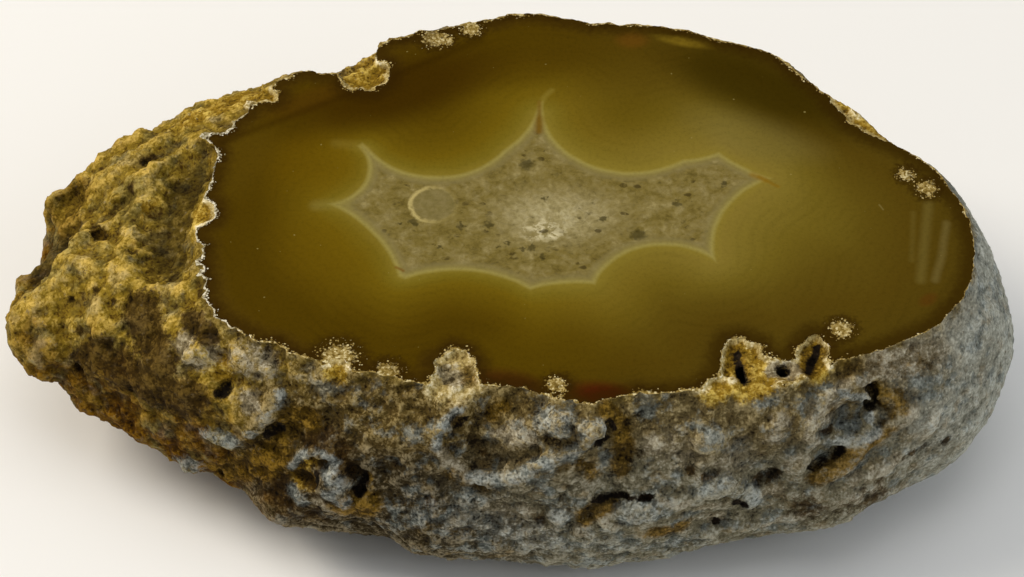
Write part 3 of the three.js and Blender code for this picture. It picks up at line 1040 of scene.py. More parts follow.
def paint(colour: int) -> tuple[float, float, float, float]:
    """Turns a colour as it is seen on a screen into the light that it stands for.

    Args:
        colour: the colour as 0xRRGGBB.

    Returns:
        Its red, green and blue from 0 to 1, and 1 for opaque.
    """
    shares = [(colour >> shift & 255) / 255 for shift in (16, 8, 0)]
    linear = [s / 12.92 if s <= 0.04045 else ((s + 0.055) / 1.055) ** 2.4 for s in shares]
    return (*linear, 1.0)


@dataclass(frozen=True)
class Fade:
    """A smooth change from a start to an end as a measure goes from low to high."""

    low: float
    high: float
    start: float = 0.0
    end: float = 1.0


@dataclass(frozen=True)
class Clouds:
    """A cloudy pattern from 0 to 1.

    The size is that of its patches in millimetres. The swirl bends it first, and holds the size
    and the amount of the bending.
    """

    size: float
    detail: float = 2.0
    rough: float = 0.5
    bend: float = 0.0
    swirl: Pair | None = None


@dataclass(frozen=True)
class Cells:
    """A pattern of cells, with their size and their swirl in millimetres, as in Clouds."""

    size: float
    swirl: Pair


class Wiring:
    """A material's node tree, with a short call for each kind of node that a finish is made of."""

    def __init__(self, name: str) -> None:
        """Starts an empty material.

        Args:
            name: the material's name.
        """
        self.material = bpy.data.materials.new(name)
        self.material.use_nodes = True
        self.tree = self.material.node_tree
        self.tree.nodes.clear()

    def put(self, kind: str, inputs: dict[str | int, Value], **settings: object) -> bpy.types.Node:
        """Adds a node.

        Args:
            kind: the node's type, without its ShaderNode prefix.
            inputs: what goes into its sockets, by the socket's name or place.
            settings: the node's own settings, by name.

        Returns:
            The new node.
        """
        node = self.tree.nodes.new("ShaderNode" + kind)
        for name, value in settings.items():
            setattr(node, name, value)
        for key, value in inputs.items():
            if isinstance(value, Socket):
                self.tree.links.new(value, node.inputs[key])
            else:
                node.inputs[key].default_value = value
        return node

    def maths(self, operation: str, *values: Value, clamp: bool = False) -> Socket:
        """Works out one number from others."""
        return self.put("Math", dict(enumerate(values)), operation=operation, use_clamp=clamp).outputs[0]

    def plus(self, first: Value, second: Value) -> Socket:
        """The sum of two numbers."""
        return self.maths("ADD", first, second)

    def less(self, first: Value, second: Value) -> Socket:
        """The first number less the second."""
        return self.maths("SUBTRACT", first, second)

    def times(self, first: Value, second: Value) -> Socket:
        """The product of two numbers."""
        return self.maths("MULTIPLY", first, second)

    def raised(self, base: Value, value: Value, share: Value) -> Socket:
        """A base raised by a share of another number."""
        return self.maths("MULTIPLY_ADD", value, share, base)

    def least(self, values: Sequence[Socket]) -> Socket:
        """The least of some numbers."""
        return reduce(lambda first, second: self.maths("MINIMUM", first, second), values)

    def vectors(self, operation: str, inputs: dict[int, Value], output: str = "Vector") -> Socket:
        """Works out a place, or a number if that output is named, from places."""
        return self.put("VectorMath", inputs, operation=operation).outputs[output]

    def place(self, centre: Sequence[float], scale: Sequence[float]) -> Socket:
        """Reads the place on the stone.

        Args:
            centre: what it is measured from, in the new scale.
            scale: what metres are multiplied by along each axis.

        Returns:
            The place.
        """
        source = self.put("TexCoord", {}).outputs["Object"]
        shift = [-c for c in centre]
        return self.put("Mapping", {"Vector": source, "Location": shift, "Scale": scale}).outputs[0]

    @cached_property
    def flat(self) -> Socket:
        """The place on a cut, in millimetres from the face's centre."""
        return self.place((*FACE_CENTRE, 0.0), (1 / MM, 1 / MM, 0.0))

    @cached_property
    def spot(self) -> Socket:
        """The place on the stone in millimetres."""
        return self.place((0.0, 0.0, 0.0), (1 / MM,) * 3)

    def axis(self, where: Socket, name: str) -> Socket:
        """A place's X, Y or Z."""
        return self.put("SeparateXYZ", {"Vector": where}).outputs[name]

    def stretch(self, where: Socket, by: Sequence[float]) -> Socket:
        """Scales a place by a fixed amount along each axis."""
        return self.vectors("MULTIPLY", {0: where, 1: by})

    def distance(self, where: Socket, centre: Value) -> Socket:
        """The distance from a place to a centre."""
        return self.vectors("DISTANCE", {0: where, 1: centre}, "Value")

    def off_run(self, where: Socket, start: Stop, end: Stop) -> Socket:
        """Measures how far a place is from a straight run.

        Args:
            where: the place.
            start: where the run starts.
            end: where it ends.

        Returns:
            The distance to the nearest place on the run.
        """
        run = Vector((end[0] - start[0], end[1] - start[1], 0.0))
        out = self.vectors("SUBTRACT", {0: where, 1: (*start, 0.0)})
        share = self.vectors("DOT_PRODUCT", {0: out, 1: run / run.length_squared}, "Value")
        share = self.maths("ADD", share, 0.0, clamp=True)
        return self.distance(out, self.vectors("SCALE", {0: run, 3: share}))

    def attribute(self, name: str) -> Socket:
        """Reads one of the stone's measures."""
        return self.put("Attribute", {}, attribute_name=name).outputs["Fac"]

    def warp(self, where: Socket, size: float, amount: float) -> Socket:
        """Bends a pattern by moving each place.

        Args:
            where: the place.
            size: how wide the bends are in millimetres.
            amount: how far they move a place, in millimetres.

        Returns:
            The moved place.
        """
        cloud = self.put("TexNoise", {"Vector": where, "Scale": 1 / size, "Detail": 2.0}).outputs["Color"]
        centred = self.vectors("SUBTRACT", {0: cloud, 1: (0.5, 0.5, 0.5)})
        moved = self.vectors("SCALE", {0: centred, 3: 2 * amount})
        return self.vectors("ADD", {0: where, 1: moved})

    def cloud(self, where: Socket, look: Clouds) -> Socket:
        """Draws a cloudy pattern.

        Args:
            where: the place that it is read at.
            look: how it looks.

        Returns:
            A number from 0 to 1, about 0.5 on the whole.
        """
        if look.swirl:
            where = self.warp(where, *look.swirl)
        inputs = {"Vector": where, "Scale": 1 / look.size, "Detail": look.detail,
                  "Roughness": look.rough, "Distortion": look.bend}
        return self.put("TexNoise", inputs).outputs["Fac"]

    def sway(self, where: Socket, look: Clouds) -> Socket:
        """A cloudy pattern that goes to either side of 0."""
        return self.less(self.cloud(where, look), 0.5)

    def cells(self, where: Socket, look: Cells) -> tuple[Socket, Socket]:
        """Draws a pattern of cells.

        Args:
            where: the place that it is read at.
            look: how it looks.

        Returns:
            The distance from the cell's middle, in cells, and the cell's own random colour.
        """
        bent = self.warp(where, *look.swirl)
        made = self.put("TexVoronoi", {"Vector": bent, "Scale": 1 / look.size}).outputs
        return made["Distance"], made["Color"]

    def split(self, colour: Socket) -> tuple[Socket, ...]:
        """A colour's three parts, each from 0 to 1."""
        return tuple(self.put("SeparateColor", {"Color": colour}).outputs)

    def fade(self, value: Value, over: Fade) -> Socket:
        """Goes smoothly from a fade's start to its end as a value rises."""
        inputs = {"Value": value, "From Min": over.low, "From Max": over.high,
                  "To Min": over.start, "To Max": over.end}
        return self.put("MapRange", inputs, interpolation_type="SMOOTHSTEP").outputs["Result"]

    def band(self, value: Value, middle: float, half: float) -> Socket:
        """Is 1 where a value is at the middle, falling to 0 at half its width to either side."""
        return self.fade(self.maths("ABSOLUTE", self.less(value, middle)), Fade(0.0, half, 1.0, 0.0))

    def mix(self, share: Value, first: Value, second: Value, blend: str = "MIX") -> Socket:
        """Mixes a share of the second colour into the first."""
        inputs = {0: share, 6: first, 7: second}
        return self.put("Mix", inputs, data_type="RGBA", blend_type=blend).outputs[2]

    def tint(self, share: Value, first: Value, colour: int) -> Socket:
        """Mixes a share of a plain colour, 0xRRGGBB, into another colour."""
        return self.mix(share, first, paint(colour))

    def ramp(self, value: Value, stops: Stops) -> Socket:
        """Turns a number into a colour.

        Args:
            value: the number.
            stops: the colours that some numbers stand for.

        Returns:
            The number's colour, mixed from those of its neighbours.
        """
        node = self.put("ValToRGB", {"Fac": value})
        elements = node.color_ramp.elements
        for spare in list(elements)[1:]:
            elements.remove(spare)
        elements[0].position, elements[0].color = stops[0][0], paint(stops[0][1])
        for position, colour in stops[1:]:
            elements.new(position).color = paint(colour)
        return node.outputs["Color"]

    def surface(self, colour: Socket, roughness: Value, height: Socket | None, depth: float,
                gloss: float) -> bpy.types.Material:
        """Ends the material in a stone surface.

        Args:
            colour: the stone's colour.
            roughness: how matt it is.
            height: the fine relief from 0 to 1, if it has any.
            depth: the relief's depth in millimetres.
            gloss: the strength of the surface's own reflection.

        Returns:
            The finished material.
        """
        inputs = {"Base Color": colour, "Roughness": roughness, "IOR": STONE_IOR,
                  "Specular IOR Level": gloss}
        if height is not None:
            bump = self.put("Bump", {"Height": height, "Distance": depth * MM, "Strength": 1.0})
            inputs["Normal"] = bump.outputs["Normal"]
        shader = self.put("BsdfPrincipled", inputs)
        self.put("OutputMaterial", {"Surface": shader.outputs["BSDF"]})
        return self.material


@dataclass(frozen=True)
class Streak:
    """A line in the cut agate, or a painted reflection on the polish, from stop to stop, measured in
    millimetres from the face's centre.
    """

    stops: tuple[Stop, ...]
    half_width: float
    strength: float
    colour: int


@dataclass(frozen=True)
class Patch:
    """An oval patch of another colour in the cut agate, soft at its edge."""

    x: float
    y: float
    length: float
    width: float
    lean: float
    strength: float
    colour: int


@dataclass(frozen=True)
class Quartz:
    """The mottled quartz in the heart, with dark flecks and a pale ring, brightest in its middle by a
    painted glow, with a painted glint, the spark, in it.

    Each part has its pattern, the fades that say how strong it is, and its colours.
    """

    fine: Clouds = Clouds(0.9, 4.0, 0.65, swirl=(1.5, 0.6))
    broad: Clouds = Clouds(2.6, 5.0, 0.62, swirl=(4.0, 1.5))
    fine_share: float = 0.36
    broad_share: float = 0.64
    mottle: Stops = ((0.3, 0x4E421C), (0.4, 0x6C5E2A), (0.48, 0x7A6B34), (0.56, 0x867846), (0.68, 0xA09260))
    # The glow and the spark are painted light: a glow seen in the quartz's depth, and a glint in it.
    glow_scale: Place = (1 / 10.5, 1 / 6.0, 1.0)
    glow_middle: Place = (-0.3, -0.42, 0.0)
    glow_ragged: float = 1.5
    glow: Fade = Fade(0.75, 1.7, 0.75, 0.0)
    glow_colours: Stops = ((0.3, 0x766A40), (0.45, 0xA89C6E), (0.6, 0xD4CAA0))
    spark_scale: Place = (0.7, 1.0, 1.0)
    spark_swirl: Pair = (0.9, 1.4)
    spark_middle: Place = (-3.2, -4.7, 0.0)
    spark: Fade = Fade(0.5, 2.2, 0.8, 0.0)
    spark_grain: Fade = Fade(0.47, 0.56)
    spark_colour: int = 0xDED4AC
    flecks: tuple[Lobe, ...] = (
        Lobe(-10.8, -3.8, 0.75), Lobe(-6.9, -7.3, 0.5), Lobe(-6.0, -7.1, 0.5), Lobe(-4.7, -8.5, 0.55),
        Lobe(-8.6, -6.4, 0.4), Lobe(-9.6, -7.0, 0.35), Lobe(-20.6, -3.6, 0.4), Lobe(-16.2, -7.0, 0.4),
        Lobe(-4.5, 0.1, 0.45), Lobe(1.9, -2.9, 0.6), Lobe(5.9, -5.2, 1.1), Lobe(-6.4, 5.3, 1.0),
        Lobe(10.3, -0.7, 0.7), Lobe(-19.0, -3.4, 0.7), Lobe(15.7, 2.2, 0.5), Lobe(-13.8, -3.9, 0.6),
    )
    fleck_swirl: Pair = (0.6, 0.75)
    fleck_core: float = 0.4
    fleck_reach: float = 1.1
    fleck_strength: float = 0.75
    fleck_colour: int = 0x383216
    facet_scale: Place = (0.8, 1.2, 1.0)
    facets: Cells = Cells(0.8, swirl=(1.2, 0.35))
    facet_strength: float = 0.09
    facet_colours: Stops = ((0.0, 0x4A4020), (0.5, 0x786B3E), (1.0, 0xA89C6C))
    fibre_swirl: Pair = (3.0, 2.6)
    fibre_scale: Place = (0.6, 1.5, 1.0)
    fibres: Clouds = Clouds(0.8, 4.0, 0.7)
    fibre_strength: float = 0.28
    fibre_shades: Stops = ((0.36, 0xA8A8A8), (0.5, 0xF0F0F0), (0.62, 0xFFFFFF))
    chosen: Fade = Fade(0.9, 0.93)
    chip_edge: Fade = Fade(0.35, 0.6, 1.0, 0.0)
    chip_patches: Fade = Fade(0.56, 0.44, 0.0, 0.7)
    chip_colour: int = 0x3A3016
    specks: Clouds = Clouds(0.55, 1.0)
    speck_edge: Fade = Fade(0.64, 0.72)
    speck_patches: Fade = Fade(0.5, 0.4)
    speck_strength: float = 0.3
    speck_colour: int = 0x443A1A
    ring: Lobe = Lobe(-16.9, -0.8, 2.55)
    ring_core: float = 0.9
    ring_fill: float = 0.8
    ring_colours: Stops = ((0.35, 0x756A3C), (0.65, 0x81754A))
    ring_side: Fade = Fade(-19.2, -15.5, 1.0, 0.2)
    ring_ragged: float = 0.9
    ring_line: float = 0.42
    ring_colour: int = 0xB4A468
    shore_ragged: float = 1.2
    shore: Fade = Fade(0.5, 1.5, 0.7, 0.0)
    shore_colour: int = 0x80754A

    def colour(self, w: Wiring, depth: Socket) -> Socket:
        """Draws the quartz.

        Args:
            w: the wiring.
            depth: how far inside the heart that is.

        Returns:
            Its colour.
        """
        fine = w.cloud(w.flat, self.fine)
        broad = w.cloud(w.flat, self.broad)
        mottled = self.glowing(w, fine, broad)
        bent = w.warp(w.flat, *self.fleck_swirl)
        for fleck in self.flecks:
            off = w.distance(bent, (fleck.x, fleck.y, 0.0))
            edge = Fade(fleck.radius * self.fleck_core, fleck.radius * self.fleck_reach,
                        self.fleck_strength, 0.0)
            mottled = w.tint(w.fade(off, edge), mottled, self.fleck_colour)
        mottled = self.grained(w, broad, mottled)
        mottled = self.ringed(w, fine, mottled)
        shore = w.plus(depth, w.times(w.less(fine, 0.5), self.shore_ragged))
        return w.tint(w.fade(shore, self.shore), mottled, self.shore_colour)

    def glowing(self, w: Wiring, fine: Socket, broad: Socket) -> Socket:
        """Draws the cloudy ground, the painted glow that brightens the middle, and the painted glint, the
        spark, in it.

        Args:
            w: the wiring.
            fine: the fine pattern.
            broad: the broad pattern.

        Returns:
            The colour.
        """
        cloud = w.plus(w.times(fine, self.fine_share), w.times(broad, self.broad_share))
        mottled = w.ramp(cloud, self.mottle)
        glow = w.distance(w.stretch(w.flat, self.glow_scale), self.glow_middle)
        glow = w.fade(w.raised(glow, broad, self.glow_ragged), self.glow)
        mottled = w.mix(glow, mottled, w.ramp(cloud, self.glow_colours))
        near = w.warp(w.stretch(w.flat, self.spark_scale), *self.spark_swirl)
        spark = w.fade(w.distance(near, self.spark_middle), self.spark)
        return w.tint(w.times(spark, w.fade(fine, self.spark_grain)), mottled, self.spark_colour)

    def grained(self, w: Wiring, broad: Socket, mottled: Socket) -> Socket:
        """Lays the quartz's facets, fibres, chips and specks over a colour.

        Args:
            w: the wiring.
            broad: the broad pattern.
            mottled: the colour so far.

        Returns:
            The colour with all of them.
        """
        off, own = w.cells(w.stretch(w.flat, self.facet_scale), self.facets)
        facet = w.split(own)
        mottled = w.mix(self.facet_strength, mottled, w.ramp(facet[0], self.facet_colours))
        fibres = w.cloud(w.stretch(w.warp(w.flat, *self.fibre_swirl), self.fibre_scale), self.fibres)
        mottled = w.mix(self.fibre_strength, mottled, w.ramp(fibres, self.fibre_shades), "MULTIPLY")
        chips = w.times(w.fade(facet[1], self.chosen), w.fade(off, self.chip_edge))
        mottled = w.tint(w.times(chips, w.fade(broad, self.chip_patches)), mottled, self.chip_colour)
        specks = w.fade(w.cloud(w.flat, self.specks), self.speck_edge)
        specks = w.times(specks, w.fade(broad, self.speck_patches))
        return w.tint(w.times(specks, self.speck_strength), mottled, self.speck_colour)

    def ringed(self, w: Wiring, fine: Socket, mottled: Socket) -> Socket:
        """Draws the small pale ring over a colour, brighter on its left side.

        Args:
            w: the wiring.
            fine: the fine pattern.
            mottled: the colour so far.

        Returns:
            The colour with the ring.
        """
        off = w.distance(w.flat, (self.ring.x, self.ring.y, 0.0))
        edge = Fade(self.ring.radius * self.ring_core, self.ring.radius, self.ring_fill, 0.0)
        mottled = w.mix(w.fade(off, edge), mottled, w.ramp(fine, self.ring_colours))
        side = w.fade(w.axis(w.flat, "X"), self.ring_side)
        line = w.band(w.raised(off, w.less(fine, 0.5), self.ring_ragged), self.ring.radius, self.ring_line)
        return w.tint(w.times(line, side), mottled, self.ring_colour)


@dataclass(frozen=True)
class Fringe:
    """The small crystals that grow in from the rim and stand in frosty spots, each in a dark halo.

    The wide fades say how far in the fringe reaches by its patches and by its side of the stone.
    Grown is 0 where a crystal may start and 1 where they are closed up.
    """

    bite: Clouds = Clouds(0.6, 3.0, 0.6)
    patches: Clouds = Clouds(3.2, 3.0, 0.6, swirl=(2.0, 0.8))
    frosty_side: Fade = Fade(-40.0, -37.0, 1.0, 0.0)
    wide_left: float = 0.04
    wide: Fade = Fade(0.42, 0.66, 0.14, 0.8)
    wide_right: Fade = Fade(27.0, 33.0, 1.0, 0.5)
    ragged: float = 0.7
    fringe_level: float = 1.25
    spots: tuple[Lobe, ...] = (
        Lobe(-17.2, 24.9, 1.15), Lobe(-15.7, 24.5, 0.7), Lobe(-12.9, 26.3, 0.9), Lobe(36.2, 3.7, 0.8),
        Lobe(38.4, 1.6, 1.0), Lobe(27.7, -18.8, 1.05), Lobe(-26.9, -22.9, 1.7), Lobe(-21.5, -24.6, 1.1),
        Lobe(-3.4, -26.4, 0.8),
    )
    spot_ragged: float = 2.2
    spot_level: float = 1.9
    border_ragged: float = 1.6
    border: Fade = Fade(0.5, 2.6, 0.7, 0.0)
    border_colour: int = 0x2E1D02
    halo: Fade = Fade(-0.6, 0.4, 0.0, 0.7)
    halo_colour: int = 0x302004
    crystals: Cells = Cells(0.27, swirl=(0.5, 0.15))
    started: Fade = Fade(0.0, 0.15)
    crystal_edge: Fade = Fade(0.3, 0.52, 1.0, 0.0)
    closed: Fade = Fade(0.75, 1.05)
    closed_patches: Fade = Fade(0.36, 0.52, 0.4, 1.0)
    glint: Clouds = Clouds(0.5, 4.0, 0.75)
    own_glint: float = 0.4
    gold: Stops = ((0.35, 0x4A360E), (0.6, 0x846E34), (0.78, 0xA8935A), (0.95, 0xD8CA9A))
    white: Stops = ((0.35, 0x5C5236), (0.6, 0x9C9270), (0.85, 0xE2DCC6))

    def grown(self, w: Wiring, bite: Socket, wide: Socket) -> Socket:
        """Measures how far the crystals have grown.

        Args:
            w: the wiring.
            bite: what makes the edges ragged.
            wide: how far in the fringe reaches here, in millimetres.

        Returns:
            A number that rises towards the rim and towards the middle of each spot.
        """
        off = w.raised(w.attribute("rim"), bite, self.ragged)
        grown = w.less(self.fringe_level, w.maths("DIVIDE", off, wide))
        for spot in self.spots:
            off = w.raised(w.distance(w.flat, (spot.x, spot.y, 0.0)), bite, self.spot_ragged)
            near = w.less(self.spot_level, w.maths("DIVIDE", off, spot.radius))
            grown = w.maths("MAXIMUM", grown, near)
        return grown

    def laid(self, w: Wiring, colour: Socket) -> Socket:
        """Grows the crystals over a colour.

        Args:
            w: the wiring.
            colour: the agate's colour.

        Returns:
            The colour with the crystals and their halos.
        """
        bite = w.sway(w.flat, self.bite)
        patches = w.cloud(w.flat, self.patches)
        side = w.axis(w.flat, "X")
        left = w.fade(side, self.frosty_side)
        wide = w.raised(w.fade(patches, self.wide), left, self.wide_left)
        wide = w.times(wide, w.fade(side, self.wide_right))
        grown = self.grown(w, bite, wide)
        border = w.raised(w.attribute("rim"), bite, self.border_ragged)
        colour = w.tint(w.fade(border, self.border), colour, self.border_colour)
        colour = w.tint(w.fade(grown, self.halo), colour, self.halo_colour)
        off, own = w.cells(w.flat, self.crystals)
        single = w.split(own)
        dots = w.times(w.fade(w.less(grown, single[0]), self.started), w.fade(off, self.crystal_edge))
        solid = w.times(w.fade(grown, self.closed), w.fade(patches, self.closed_patches))
        glint = w.raised(w.cloud(w.flat, self.glint), single[1], self.own_glint)
        crystal = w.mix(left, w.ramp(glint, self.gold), w.ramp(glint, self.white))
        return w.mix(w.maths("MAXIMUM", dots, solid), colour, crystal)


@dataclass(frozen=True)
class AgateSection:
    """What a cut through the nodule shows: olive-brown agate round a heart of mottled quartz.

    The plain and the pale colours go from the heart at 0 to the rim at 1, and the drift moves
    them. The band rate is how fast the fine bands follow on each other, in radians a millimetre.
    """

    quartz: Quartz = Quartz()
    fringe: Fringe = Fringe()
    drift: Clouds = Clouds(12.0)
    colour_drift: float = 0.1
    band_drift: float = 8.0
    patch_drift: float = 0.5
    pale_side: Fade = Fade(-9.0, 18.0)
    plain: Stops = (
        (0.0, 0x8A7B2F), (0.03, 0x7F6F25), (0.1, 0x736318), (0.2, 0x6C580D), (0.32, 0x634F09),
        (0.5, 0x574305), (0.65, 0x4E3B03), (0.85, 0x4C3903), (1.0, 0x533F0F),
    )
    pale: Stops = (
        (0.0, 0x8C7C32), (0.03, 0x84742B), (0.1, 0x806F2B), (0.2, 0x7A6A26), (0.35, 0x6D5D1B),
        (0.55, 0x5D4C12), (0.75, 0x54420D), (1.0, 0x4E3E0D),
    )
    band_rate: float = 4.6
    band_shades: Stops = ((0.0, 0xFFFFFF), (1.0, 0xF6F6F2))
    banded: Clouds = Clouds(7.0)
    band_strength: Fade = Fade(0.45, 0.62, 0.1, 0.8)
    streaks: tuple[Streak, ...] = (
        Streak(((-5.0, 14.2), (-4.4, 15.6), (-3.6, 16.6)), 0.6, 0.4, 0x8C7C30),
        Streak(((-24.6, 7.6), (-26.2, 8.2), (-28.0, 8.4)), 1.2, 0.3, 0x84722A),
        Streak(((-26.6, -0.8), (-28.0, -0.7), (-30.0, -0.9)), 1.3, 0.4, 0x867A38),
        Streak(((-5.05, 10.2), (-5.0, 14.8)), 0.5, 0.75, 0x6E520E),
        Streak(((-5.05, 10.4), (-5.0, 12.2)), 0.95, 0.6, 0x70520E),
        Streak(((18.9, 3.7), (20.3, 2.9)), 0.7, 0.6, 0x84620E),
        Streak(((19.6, 3.4), (21.7, 1.9)), 0.42, 0.65, 0x7E5E0C),
        Streak(((-20.9, -10.0), (-20.1, -10.5)), 0.34, 0.7, 0x70480C),
        Streak(((-41.0, 8.6), (-26.0, 16.4), (-11.8, 24.6)), 1.0, 0.4, 0x2E1C00),
        # The four pale streaks at the right end are a painted reflection of the light on the polish, not
        # lines in the agate.
        Streak(((38.4, -0.8), (37.6, -6.0), (36.8, -11.8)), 1.0, 0.4, 0x756830),
        Streak(((40.2, -3.6), (39.4, -8.0), (38.4, -11.8)), 0.8, 0.45, 0x756838),
        Streak(((36.6, -2.0), (36.0, -9.0)), 0.6, 0.3, 0x6E6028),
        Streak(((32.9, -0.8), (33.3, -1.5)), 0.18, 0.4, 0x8A7E48),
    )
    patches: tuple[Patch, ...] = (
        Patch(-21.0, 16.5, 17.0, 6.5, 27.0, 0.7, 0x362100),
        Patch(-8.0, 20.0, 12.0, 4.0, 12.0, 0.3, 0x402C02),
        Patch(-30.0, 5.0, 9.0, 6.5, 0.0, 0.35, 0x6A5002),
        Patch(-28.0, -7.0, 9.0, 8.0, -30.0, 0.35, 0x6A5206),
        Patch(19.0, 9.5, 11.0, 5.0, -20.0, 0.35, 0x766A38),
        Patch(21.0, 17.0, 17.0, 7.0, -30.0, 0.8, 0x322600),
        Patch(-31.0, 15.4, 9.0, 2.4, 28.0, 0.5, 0x4E3406),
        Patch(-38.6, 6.0, 5.0, 9.0, -20.0, 0.5, 0x58440A),
        Patch(6.0, 13.0, 6.0, 5.0, 0.0, 0.25, 0x5C4A06),
        Patch(-9.0, -26.2, 5.5, 2.4, -12.0, 0.85, 0x46210A),
        Patch(1.6, -27.8, 5.5, 2.4, -5.0, 0.95, 0x4A1A06),
        Patch(-6.0, -22.0, 14.0, 5.0, 0.0, 0.3, 0x5E4A06),
        Patch(5.8, 24.6, 2.6, 1.8, 0.0, 0.4, 0x6E4410),
        Patch(11.6, 24.4, 4.5, 1.1, -14.0, 0.8, 0x7C6618),
        Patch(37.4, -14.6, 1.6, 1.0, 40.0, 0.35, 0x5A2A0A),
    )
    patch_core: float = 0.25
    shiver: Pair = (2.5, 0.12)
    heart_edge: Fade = Fade(-0.12, 0.12)
    inner_rise: Fade = Fade(0.0, 0.2)
    inner_fall: Fade = Fade(0.3, 1.0, 0.6, 0.0)
    inner_colour: int = 0x84773C
    outline: float = 0.46
    outline_strength: float = 0.75
    outline_colour: int = 0x968A48
    dust: Clouds = Clouds(0.5, 0.0)
    dust_edge: Fade = Fade(0.86, 0.9, 0.0, 0.5)
    dust_colour: int = 0x9A8C50
    grain: Clouds = Clouds(0.45, 4.0, 0.75)
    grain_shades: Stops = ((0.3, 0xE8E8E8), (0.5, 0xFAFAFA), (0.68, 0xFFFFFF))

    def heart_depth(self, w: Wiring, where: Socket) -> Socket:
        """Works out how far inside the heart a place lies, as Heart.depth does.

        Args:
            w: the wiring.
            where: the place, from the face's centre.

        Returns:
            The depth in millimetres, less than 0 outside the heart.
        """
        clear = [w.less(w.distance(where, (lobe.x, lobe.y, 0.0)), lobe.radius) for lobe in HEART.lobes]
        squash = HEART.oval_squash
        middle = (HEART.oval.x, HEART.oval.y / squash, 0.0)
        reach = w.distance(w.stretch(where, (1.0, 1 / squash, 1.0)), middle)
        within = w.times(w.less(HEART.oval.radius, reach), squash)
        return w.least([*clear, within])

    def agate(self, w: Wiring) -> Socket:
        """Draws the olive-brown agate, which darkens from the heart to the rim.

        Args:
            w: the wiring.

        Returns:
            Its colour.
        """
        heart, rim = w.attribute("heart"), w.attribute("rim")
        share = w.maths("DIVIDE", heart, w.plus(w.plus(heart, rim), NOT_ZERO))
        drift = w.sway(w.flat, self.drift)
        share = w.plus(share, w.times(drift, self.colour_drift))
        side = w.fade(w.axis(w.flat, "X"), self.pale_side)
        colour = w.mix(side, w.ramp(share, self.plain), w.ramp(share, self.pale))
        ripple = w.maths("SINE", w.raised(w.times(heart, self.band_rate), drift, self.band_drift))
        strength = w.fade(w.cloud(w.flat, self.banded), self.band_strength)
        colour = w.mix(strength, colour, w.ramp(ripple, self.band_shades), "MULTIPLY")
        for patch in self.patches:
            turned = w.put("Mapping", {"Vector": w.flat, "Location": (-patch.x, -patch.y, 0.0)}).outputs[0]
            turned = w.put("VectorRotate", {"Vector": turned, "Angle": -math.radians(patch.lean)},
                           rotation_type="Z_AXIS").outputs[0]
            off = w.distance(w.stretch(turned, (1 / patch.length, 1 / patch.width, 1.0)), (0.0, 0.0, 0.0))
            edge = Fade(self.patch_core, 1.0, patch.strength, 0.0)
            near = w.fade(w.plus(off, w.times(drift, self.patch_drift)), edge)
            colour = w.tint(near, colour, patch.colour)
        return colour

    def streaked(self, w: Wiring, where: Socket, colour: Socket) -> Socket:
        """Draws the pale and dark lines over a colour; the pale ones at the right end are a painted
        reflection.

        Args:
            w: the wiring.
            where: the place, from the face's centre.
            colour: the colour so far.

        Returns:
            The colour with the lines.
        """
        for streak in self.streaks:
            runs = [w.off_run(where, start, end) for start, end in zip(streak.stops, streak.stops[1:])]
            near = w.fade(w.least(runs), Fade(0.0, streak.half_width, streak.strength, 0.0))
            colour = w.tint(near, colour, streak.colour)
        return colour

    def colour(self, w: Wiring) -> Socket:
        """Draws the whole section.

        Args:
            w: the wiring.

        Returns:
            Its colour.
        """
        wavy = w.warp(w.flat, *self.shiver)
        depth = self.heart_depth(w, wavy)
        inside = w.fade(depth, self.heart_edge)
        colour = w.mix(inside, self.agate(w), self.quartz.colour(w, depth))
        inner = w.times(w.fade(depth, self.inner_rise), w.fade(depth, self.inner_fall))
        colour = w.tint(inner, colour, self.inner_colour)
        outline = w.times(w.band(depth, 0.0, self.outline), self.outline_strength)
        colour = w.tint(outline, colour, self.outline_colour)
        colour = self.streaked(w, wavy, colour)
        dust = w.fade(w.cloud(w.flat, self.dust), self.dust_edge)
        colour = w.tint(dust, colour, self.dust_colour)
        grain = w.ramp(w.cloud(w.flat, self.grain), self.grain_shades)
        colour = w.mix(1.0, colour, grain, "MULTIPLY")
        return self.fringe.laid(w, colour)


@dataclass(frozen=True)
class PolishedAgate:
    """The polished face: the agate under a clear polish."""

    section: AgateSection = AgateSection()
    roughness: float = 0.16
    gloss: float = 0.3

    def material(self) -> bpy.types.Material:
        """Makes the finish."""
        w = Wiring("polished_agate")
        return w.surface(self.section.colour(w), self.roughness, None, 0.0, self.gloss)


@dataclass(frozen=True)
class Crust:
    """One look of the skin: the colours of its crevices, of its ground and of its crests. The tone picks
    among them, so the crevice and crest colours also carry the painted shade and painted highlight that the
    tone holds.
    """

    crevice: int
    ground: int
    crest: int

    def laid(self, w: Wiring, tone: Socket) -> Socket:
        """The crust's colour for each tone from 0 to 1."""
        return w.ramp(tone, tuple(zip(CRUST_TONES, (self.crevice, self.ground, self.crest))))


@dataclass(frozen=True)
class Wash:
    """A tint laid over the skin: which measure it reads, how strong it gets with it, and its crust."""

    tint: Tint
    edge: Fade
    crust: Crust


